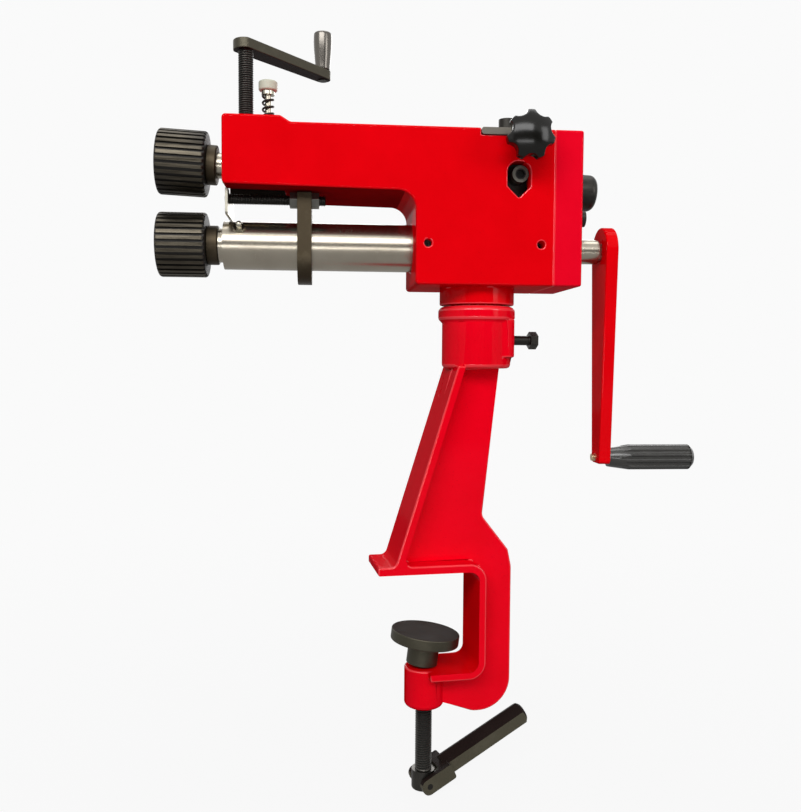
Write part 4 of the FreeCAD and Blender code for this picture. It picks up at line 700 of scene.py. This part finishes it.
# %% Machined pieces
machined = (
    ("lower_roll", 1.2, lower_roll_steel),
    ("upper_roll", 1.2, upper_roll_steel),
    ("lower_collar", 0.6, brown_oxide),
    ("upper_collar", 0.6, brown_oxide),
    ("gauge_bracket", 0.8, brown_oxide),
    ("gauge_nuts", 0.4, grey_steel),
    ("small_crank", 0.7, olive_oxide),
    ("clamp_pad", 0.6, olive_oxide),
    # The toggle handle's olive finish is painted light on its lower faces.
    ("toggle_handle", 0.3, lit_oxide),
    ("swivel_lock_bolt", 0.4, black_oxide),
    ("lock_plate", 0.5, lock_steel),
    ("rear_knob", 0.5, black_oxide),
    ("lift_cap", 0.3, cream_plastic),
    ("crank_grip", 0.5, grip_phenolic),
)
finished = {}
for node, width, material in machined:
    piece = soften(copy_of(node, node + "_finished"), width * MM)
    finished[node] = stands_for(painted(piece, material), node)
    print(piece.name, len(piece.data.polygons), "faces")

# %% [markdown]
# ## Painted light and shade on upper and lower faces
# Light and shade are painted on two pieces. On the toggle handle the upper flats are black,
# painted shade, and the lower ones a light olive, painted light. The small crank is black
# underneath, painted shade. Each face takes its slot by the direction of its normal.

# %% Upper and lower faces
UPPER = 0.2
# The toggle handle's upper faces take the near-black finish: painted shade.
coat_faces(finished["toggle_handle"], shaded_oxide, lambda face: face.normal.z > UPPER)
# The small crank's underside takes the same near-black finish: painted shade.
coat_faces(finished["small_crank"], shaded_oxide, lambda face: face.normal.z < -STRAIGHT)

# %% [markdown]
# ## The pad's face
# The pad's face bears on the underside of the bench. Only the faces at its top that look
# straight up take its dull, near-black brown finish.

# %% Pad face
LEVEL = 0.93
PAD_DEPTH = 10 * MM
pad_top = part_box("clamp_pad")[1].z


def bears_on_bench(face):
    """The top of the pad."""
    return face.normal.z > LEVEL and face.center.z > pad_top - PAD_DEPTH


coat_faces(finished["clamp_pad"], pad_face, bears_on_bench)

# %% [markdown]
# ## The lift spring
# The spring stands on the casting and pushes the bolt's washer up, so the upper shaft rises
# when the pressure screw is let go. It closes up as the bolt comes down, but the copy keeps its
# shape. The copy rides with the bolt, so it leans as the bolt leans. The bolt drops 10 mm.

# %% Lift spring
spring = painted(copy_of("lift_spring", "lift_spring_wound"), black_oxide)
bpy.ops.object.shade_smooth()
spring_top = middle("lift_spring")
spring_top.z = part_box("lift_spring")[1].z
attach(spring, "upper_carrier")
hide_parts("lift_spring")
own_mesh(spring)
print("spring:", len(spring.data.polygons), "faces, top at", round(spring_top.z, 4))

# %% [markdown]
# ## The star knob
# The knob is moulded, so nothing on it is sharp: the lobes run into the domed face in one soft
# skin. A Remesh modifier turns the copied solid into small even cells, and Smooth melts the
# edges between them.

# %% Star knob
KNOB_CELL = 0.6 * MM
MELT_ROUNDS = 10
star_knob = copy_of("star_knob", "star_knob_moulded")
cells = star_knob.modifiers.new("cells", "REMESH")
cells.mode = "VOXEL"
cells.voxel_size = KNOB_CELL
melt = star_knob.modifiers.new("melt", "SMOOTH")
melt.factor = 0.5
melt.iterations = MELT_ROUNDS
apply_all(star_knob)
bpy.ops.object.shade_smooth()
stands_for(painted(star_knob, black_phenolic), "star_knob")
print("star knob:", len(star_knob.data.polygons), "faces")

# %% [markdown]
# ## Winding a line
# A turned shape and a thread are both a line that goes round an axis. The line is drawn beside
# Z, each point a radius and a height, and the Screw modifier winds it: without a pitch it closes
# into a turned shape, and with one it climbs.

# %% Outlines
def outline(name, points):
    """An open line through points, each a radius and a height."""
    bpy.ops.object.select_all(action="DESELECT")
    bpy.ops.mesh.primitive_circle_add(vertices=3, radius=points[0][0] + MM)
    piece = bpy.context.object
    piece.name = name
    bpy.ops.object.mode_set(mode="EDIT")
    bpy.ops.mesh.select_all(action="SELECT")
    bpy.ops.mesh.delete(type="VERT")
    bpy.ops.object.mode_set(mode="OBJECT")
    mesh = piece.data
    mesh.vertices.add(len(points))
    mesh.edges.add(len(points) - 1)
    for vertex, (radius, height) in zip(mesh.vertices, points):
        vertex.co = (radius, 0, height)
    for index, edge in enumerate(mesh.edges):
        edge.vertices = (index, index + 1)
    return piece


def wound(piece, pitch, turns, steps):
    """Wind the line about Z; with no pitch it closes into a turned shape."""
    screw = piece.modifiers.new("wound", "SCREW")
    screw.axis = "Z"
    screw.screw_offset = pitch
    screw.iterations = turns
    screw.steps = steps
    screw.render_steps = steps
    screw.use_merge_vertices = True
    screw.merge_threshold = MERGE
    return apply_all(piece)


print("winding helpers ready")

# %% [markdown]
# ## Cutting, closing and placing
# Bisect cuts a mesh across with a plane and fills the cut. A wound mesh has its doubles merged,
# and then its faces turned outwards. A finished piece has its place written in its mesh, so that
# its object sits at the origin.

# %% Cutting and placing
UP = (0, 0, 1)


def cut(piece, height, above):
    """Cut a piece across, close it, and drop what is above or below the cut."""
    only(piece)
    bpy.ops.object.mode_set(mode="EDIT")
    bpy.ops.mesh.select_all(action="SELECT")
    bpy.ops.mesh.bisect(plane_co=(0, 0, height), plane_no=UP, use_fill=True,
                        clear_inner=not above, clear_outer=above)
    bpy.ops.object.mode_set(mode="OBJECT")
    return piece


def closed(piece, gap):
    """Merge points nearer than the gap and turn every face outwards."""
    only(piece)
    bpy.ops.object.mode_set(mode="EDIT")
    bpy.ops.mesh.select_all(action="SELECT")
    bpy.ops.mesh.remove_doubles(threshold=gap)
    bpy.ops.mesh.normals_make_consistent(inside=False)
    bpy.ops.object.mode_set(mode="OBJECT")
    return piece


def moved(piece, place):
    """Set the piece's place and write it in the mesh."""
    only(piece)
    piece.matrix_world = place
    bpy.ops.object.transform_apply(location=True, rotation=True, scale=True)
    return piece


print("cutting helpers ready")

# %% [markdown]
# ## Screw threads
# A thread is one zigzag wound round an axis. The zigzag is drawn for a single pitch and wound
# upwards for as many turns as the rod has, and two more. Both ends are then cut off flat, and
# the rod is turned to its own axis.

# %% Threads
THREAD_STEPS = 20
THREAD_SMOOTH = 35


def thread(name, start, end, diameter, pitch, depth):
    """Threaded rod from start to end."""
    axis = Vector(end) - Vector(start)
    turns = math.ceil(axis.length / pitch) + 2
    crest = diameter / 2
    root = crest - depth
    points = [(root, -pitch), (crest, -0.60 * pitch), (crest, -0.45 * pitch),
              (root, -0.05 * pitch), (root, 0.0)]
    piece = wound(outline(name, points), pitch, turns, THREAD_STEPS)
    cut(piece, 0.0, above=False)
    cut(piece, axis.length, above=True)
    closed(piece, pitch * 0.01)
    turn = Vector(UP).rotation_difference(axis)
    moved(piece, Matrix.Translation(start) @ turn.to_matrix().to_4x4())
    bpy.ops.object.shade_smooth_by_angle(angle=math.radians(THREAD_SMOOTH))
    return piece


def thread_finish(node, across, diameter, depth):
    """Worn on the crests; the outer fifth of the thread's depth is the brightest."""
    crest = diameter / 2
    return crested(node + "_steel", node, across, crest - depth, crest - depth * 0.2,
                   colour(0.010, 0.010, 0.009), colour(0.085, 0.080, 0.072), 0.26)


print("thread helpers ready")

# %% [markdown]
# ## The gauge rod
# The rod that carries the fence is threaded all along. It lies along X, so the crests of its
# thread are found by the distance from that axis.

# %% Gauge rod
ROD_PITCH, ROD_DEPTH = 1.25 * MM, 0.68 * MM
rod_low, rod_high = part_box("gauge_rod")
rod_axis = middle("gauge_rod")
rod_diameter = rod_high.z - rod_low.z
gauge_rod = thread("gauge_rod_threaded", (rod_low.x, rod_axis.y, rod_axis.z),
                   (rod_high.x, rod_axis.y, rod_axis.z), rod_diameter, ROD_PITCH, ROD_DEPTH)
rod_finish = thread_finish("gauge_rod", ROUND_X, rod_diameter, ROD_DEPTH)
stands_for(painted(gauge_rod, rod_finish), "gauge_rod")
print("gauge rod:", len(gauge_rod.data.polygons), "faces")

# %% [markdown]
# ## The spinner
# The small crank's spinner is turned from bar and polished, so its outline is a smooth curve:
# a narrow neck, a swelling, and a rounded top. The curve is drawn as a line of points, wound
# once about Z without a pitch, and smoothed by Subdivision Surface. It stops 5 mm below the top
# of its solid.

# %% Spinner
SPINNER_LESS = 5.0 * MM
SPINNER_STEPS = 32
SPINNER_ROUNDS = 2
SPINNER_OUTLINE = (
    (0.0, 0.0), (0.76, 0.0), (0.80, 0.02), (0.81, 0.12), (0.87, 0.30), (0.96, 0.55),
    (1.0, 0.75), (0.99, 0.92), (0.97, 0.965), (0.91, 0.99), (0.82, 1.0), (0.0, 1.0),
)
spinner_low, spinner_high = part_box("spinner")
spinner_axis = middle("spinner")
spinner_height = spinner_high.z - spinner_low.z - SPINNER_LESS
spinner_radius = (spinner_high.x - spinner_low.x) / 2
points = [(share * spinner_radius, rise * spinner_height) for share, rise in SPINNER_OUTLINE]
spinner = closed(wound(outline("spinner_turned", points), 0.0, 1, SPINNER_STEPS), MERGE)
rounder = spinner.modifiers.new("rounder", "SUBSURF")
rounder.levels = SPINNER_ROUNDS
rounder.render_levels = SPINNER_ROUNDS
apply_all(spinner)
moved(spinner, Matrix.Translation((spinner_axis.x, spinner_axis.y, spinner_low.z)))
bpy.ops.object.shade_smooth()
stands_for(painted(spinner, dark_polish), "spinner")
print("spinner:", len(spinner.data.polygons), "faces")

# %% [markdown]
# ## The pressure screw and the clamp screw
# Each screw keeps a plain part: the pin that holds the button, and the round eye for the handle.
# So the copied solid is cut across with Bisect, and the threaded rod takes the place of what was
# cut away. The two shells stay in one object.

# %% Cut and join
FOOT_EDGE = 0.3 * MM
ROD_OVERLAP = 0.5 * MM
PLAIN_LENGTH = 1 * MM
EYE_TOP = -171.0 * MM


def joined(piece, other):
    """One object with both shells."""
    only(piece)
    other.select_set(True)
    bpy.ops.object.join()
    return piece


def screw_with_plain_foot(node, foot_top, diameter, pitch, depth):
    """Plain below foot_top, threaded above it."""
    axis = middle(node)
    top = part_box(node)[1].z
    foot = cut(soften(copy_of(node, node + "_cut"), FOOT_EDGE), foot_top, above=True)
    rod = thread(node + "_rod", (axis.x, axis.y, foot_top - ROD_OVERLAP),
                 (axis.x, axis.y, top), diameter, pitch, depth)
    finish = thread_finish(node, ROUND_Z, diameter, depth)
    piece = stands_for(painted(joined(foot, rod), finish), node)
    print(piece.name, len(piece.data.polygons), "faces")


button_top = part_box("pressure_button")[1].z
screw_with_plain_foot("pressure_screw", button_top + PLAIN_LENGTH,
                      12 * MM, 1.75 * MM, 0.95 * MM)
screw_with_plain_foot("clamp_screw", EYE_TOP + PLAIN_LENGTH, 14 * MM, 2.0 * MM, 1.1 * MM)

# %% [markdown]
# ## The floor
# The machine stands on plain white, so the floor is near white to the camera. It is a little
# brighter near the machine and takes a faint shadow there. In a reflection it shows at about a
# third, because a bright floor would wash out the glossy red.

# %% Floor
BACKDROP = colour(0.956, 0.956, 0.956)
NEAR, FAR = 0.2, 1.2
EXTRA_GLOW = 0.12
SHADOW_SHARE = 0.15
FLOOR_IN_MIRROR = 0.35
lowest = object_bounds()[0][2]
bpy.ops.object.select_all(action="DESELECT")
bpy.ops.mesh.primitive_plane_add(size=10, location=(0, 0, lowest - MM))
floor = bpy.context.object
floor.name = "floor"
floor_finish = Finish("pale_floor")
floor_finish.set(Base_Color=colour(0.22, 0.22, 0.22), Roughness=0.9, Specular_IOR_Level=0.0)
nearby = 1 - floor_finish.ramp(floor_finish.reach((0, 0, 0), ROUND_Z), NEAR, FAR)
glow = floor_finish.add("ShaderNodeEmission", {}, {
    "Color": BACKDROP, "Strength": 1.0 + nearby * EXTRA_GLOW,
})
shaded = Value(floor_finish, floor_finish.surface.outputs[0])
share = floor_finish.seen_directly(FLOOR_IN_MIRROR) * (1 - nearby * SHADOW_SHARE)
floor_look = floor_finish.add("ShaderNodeMixShader", {}, {0: share, 1: shaded, 2: glow})
floor_finish.connect(floor_finish.tree.nodes["Material Output"].inputs["Surface"], floor_look)
painted(floor, floor_finish.material)
print("floor at", round(lowest - MM, 4))

# %% [markdown]
# ## The world
# The camera and the reflections see a white room. As a light the room is weak and even, so that
# the lamps decide where a form is bright, and a colour renders about as it is written.

# %% World
FILL = 0.13
world = bpy.data.worlds.new("studio")
bpy.context.scene.world = world
world.use_nodes = True
studio = Wiring(world.node_tree)
fill = studio.add("ShaderNodeBackground", {}, {
    "Color": colour(0.95, 0.96, 1.0), "Strength": FILL,
})
white = studio.add("ShaderNodeBackground", {}, {"Color": BACKDROP, "Strength": 1.0})
chosen = studio.add("ShaderNodeMixShader", {}, {0: studio.seen_directly(), 1: fill, 2: white})
studio.connect(world.node_tree.nodes["World Output"].inputs["Surface"], chosen)
print("world ready")

# %% [markdown]
# ## The lamps
# A wide softbox above and behind the camera lights the front. A weak low one opens the
# shadows under the arm, one lights the back, and two small ones draw the right sides and the
# tops. Each row gives a name, a place, the width and height in metres, and the power in watts.

# %% Lamps
CENTRE = Vector((0.0, 0.0, 0.18))
LAMPS = (
    ("front_softbox", (-0.5, -1.75, 1.35), 2.2, 0.7, 36),
    ("low_softbox", (-0.3, -1.9, -0.05), 1.8, 0.2, 7),
    ("back_softbox", (0.4, 1.8, 0.9), 1.6, 0.8, 14),
    ("right_softbox", (1.4, -1.2, 0.7), 0.6, 1.0, 8),
    ("top_softbox", (0.0, 0.1, 1.7), 1.4, 0.7, 8),
)
for name, place, width, height, power in LAMPS:
    bpy.ops.object.light_add(type="AREA", location=place)
    lamp = bpy.context.object
    lamp.name = name
    lamp.data.shape = "RECTANGLE"
    lamp.data.size = width
    lamp.data.size_y = height
    lamp.data.energy = power
    lamp.visible_camera = False
    lamp.rotation_euler = (CENTRE - Vector(place)).to_track_quat("-Z", "Y").to_euler()
print("lamps:", len(LAMPS))

# %% [markdown]
# ## The curtain
# Gloss paint shows the room in front of it, and a workshop is darker than a white studio. So a
# dark plane stands behind the camera. It is seen only in reflections: it gives no light and
# throws no shadow.

# %% Curtain
CURTAIN_DISTANCE = 2.6
CURTAIN_HEIGHT = 0.70
CURTAIN_SIZE = (5.0, 1.4, 1.0)
CURTAIN_GREY = colour(0.10, 0.10, 0.10)
bpy.ops.object.select_all(action="DESELECT")
bpy.ops.mesh.primitive_plane_add(size=1, rotation=(math.radians(90), 0, 0),
                                 location=(0, -CURTAIN_DISTANCE, lowest + CURTAIN_HEIGHT))
curtain = bpy.context.object
curtain.name = "curtain"
curtain.scale = CURTAIN_SIZE
curtain_finish = Finish("dark_curtain")
curtain_finish.set(
    Base_Color=colour(0.0, 0.0, 0.0),
    Roughness=1.0,
    Specular_IOR_Level=0.0,
    Emission_Color=CURTAIN_GREY,
    Emission_Strength=1.0,
)
painted(curtain, curtain_finish.material)
curtain.visible_camera = False
curtain.visible_diffuse = False
curtain.visible_shadow = False
print("curtain", CURTAIN_DISTANCE, "m in front of the machine")

# %% [markdown]
# ## The camera
# It stands in front of the machine, a little to the left, and looks slightly down. Yaw and
# pitch give the direction it looks in, and roll turns its right and up about that direction.
# FOCAL and LONG_SIDE are counted in pixels of the render.

# %% Camera
CAMERA_PLACE = Vector((-83.22, -687.25, 172.65)) * MM
CAMERA_YAW = math.radians(5.166)
CAMERA_PITCH = math.radians(3.226)
CAMERA_ROLL = math.radians(0.370)
FOCAL = 843.355
LONG_SIDE = 812
SENSOR = 36.0
forward = Vector((
    math.sin(CAMERA_YAW) * math.cos(CAMERA_PITCH),
    math.cos(CAMERA_YAW) * math.cos(CAMERA_PITCH),
    -math.sin(CAMERA_PITCH),
))
level_right = Vector((math.cos(CAMERA_YAW), -math.sin(CAMERA_YAW), 0))
level_up = level_right.cross(forward)
right = math.cos(CAMERA_ROLL) * level_right + math.sin(CAMERA_ROLL) * level_up
up = -math.sin(CAMERA_ROLL) * level_right + math.cos(CAMERA_ROLL) * level_up
camera = bpy.data.objects.new("camera", bpy.data.cameras.new("camera"))
bpy.context.collection.objects.link(camera)
camera.data.lens = FOCAL * SENSOR / LONG_SIDE
camera.data.sensor_width = SENSOR
turn = Matrix((right, up, -forward)).transposed().to_4x4()
camera.matrix_world = Matrix.Translation(CAMERA_PLACE) @ turn
bpy.context.scene.camera = camera
print("lens", round(camera.data.lens, 2), "mm")

# %% [markdown]
# ## The colours
# The Standard view keeps the colours as they are written.

# %% Colour view
bpy.context.scene.view_settings.view_transform = "Standard"
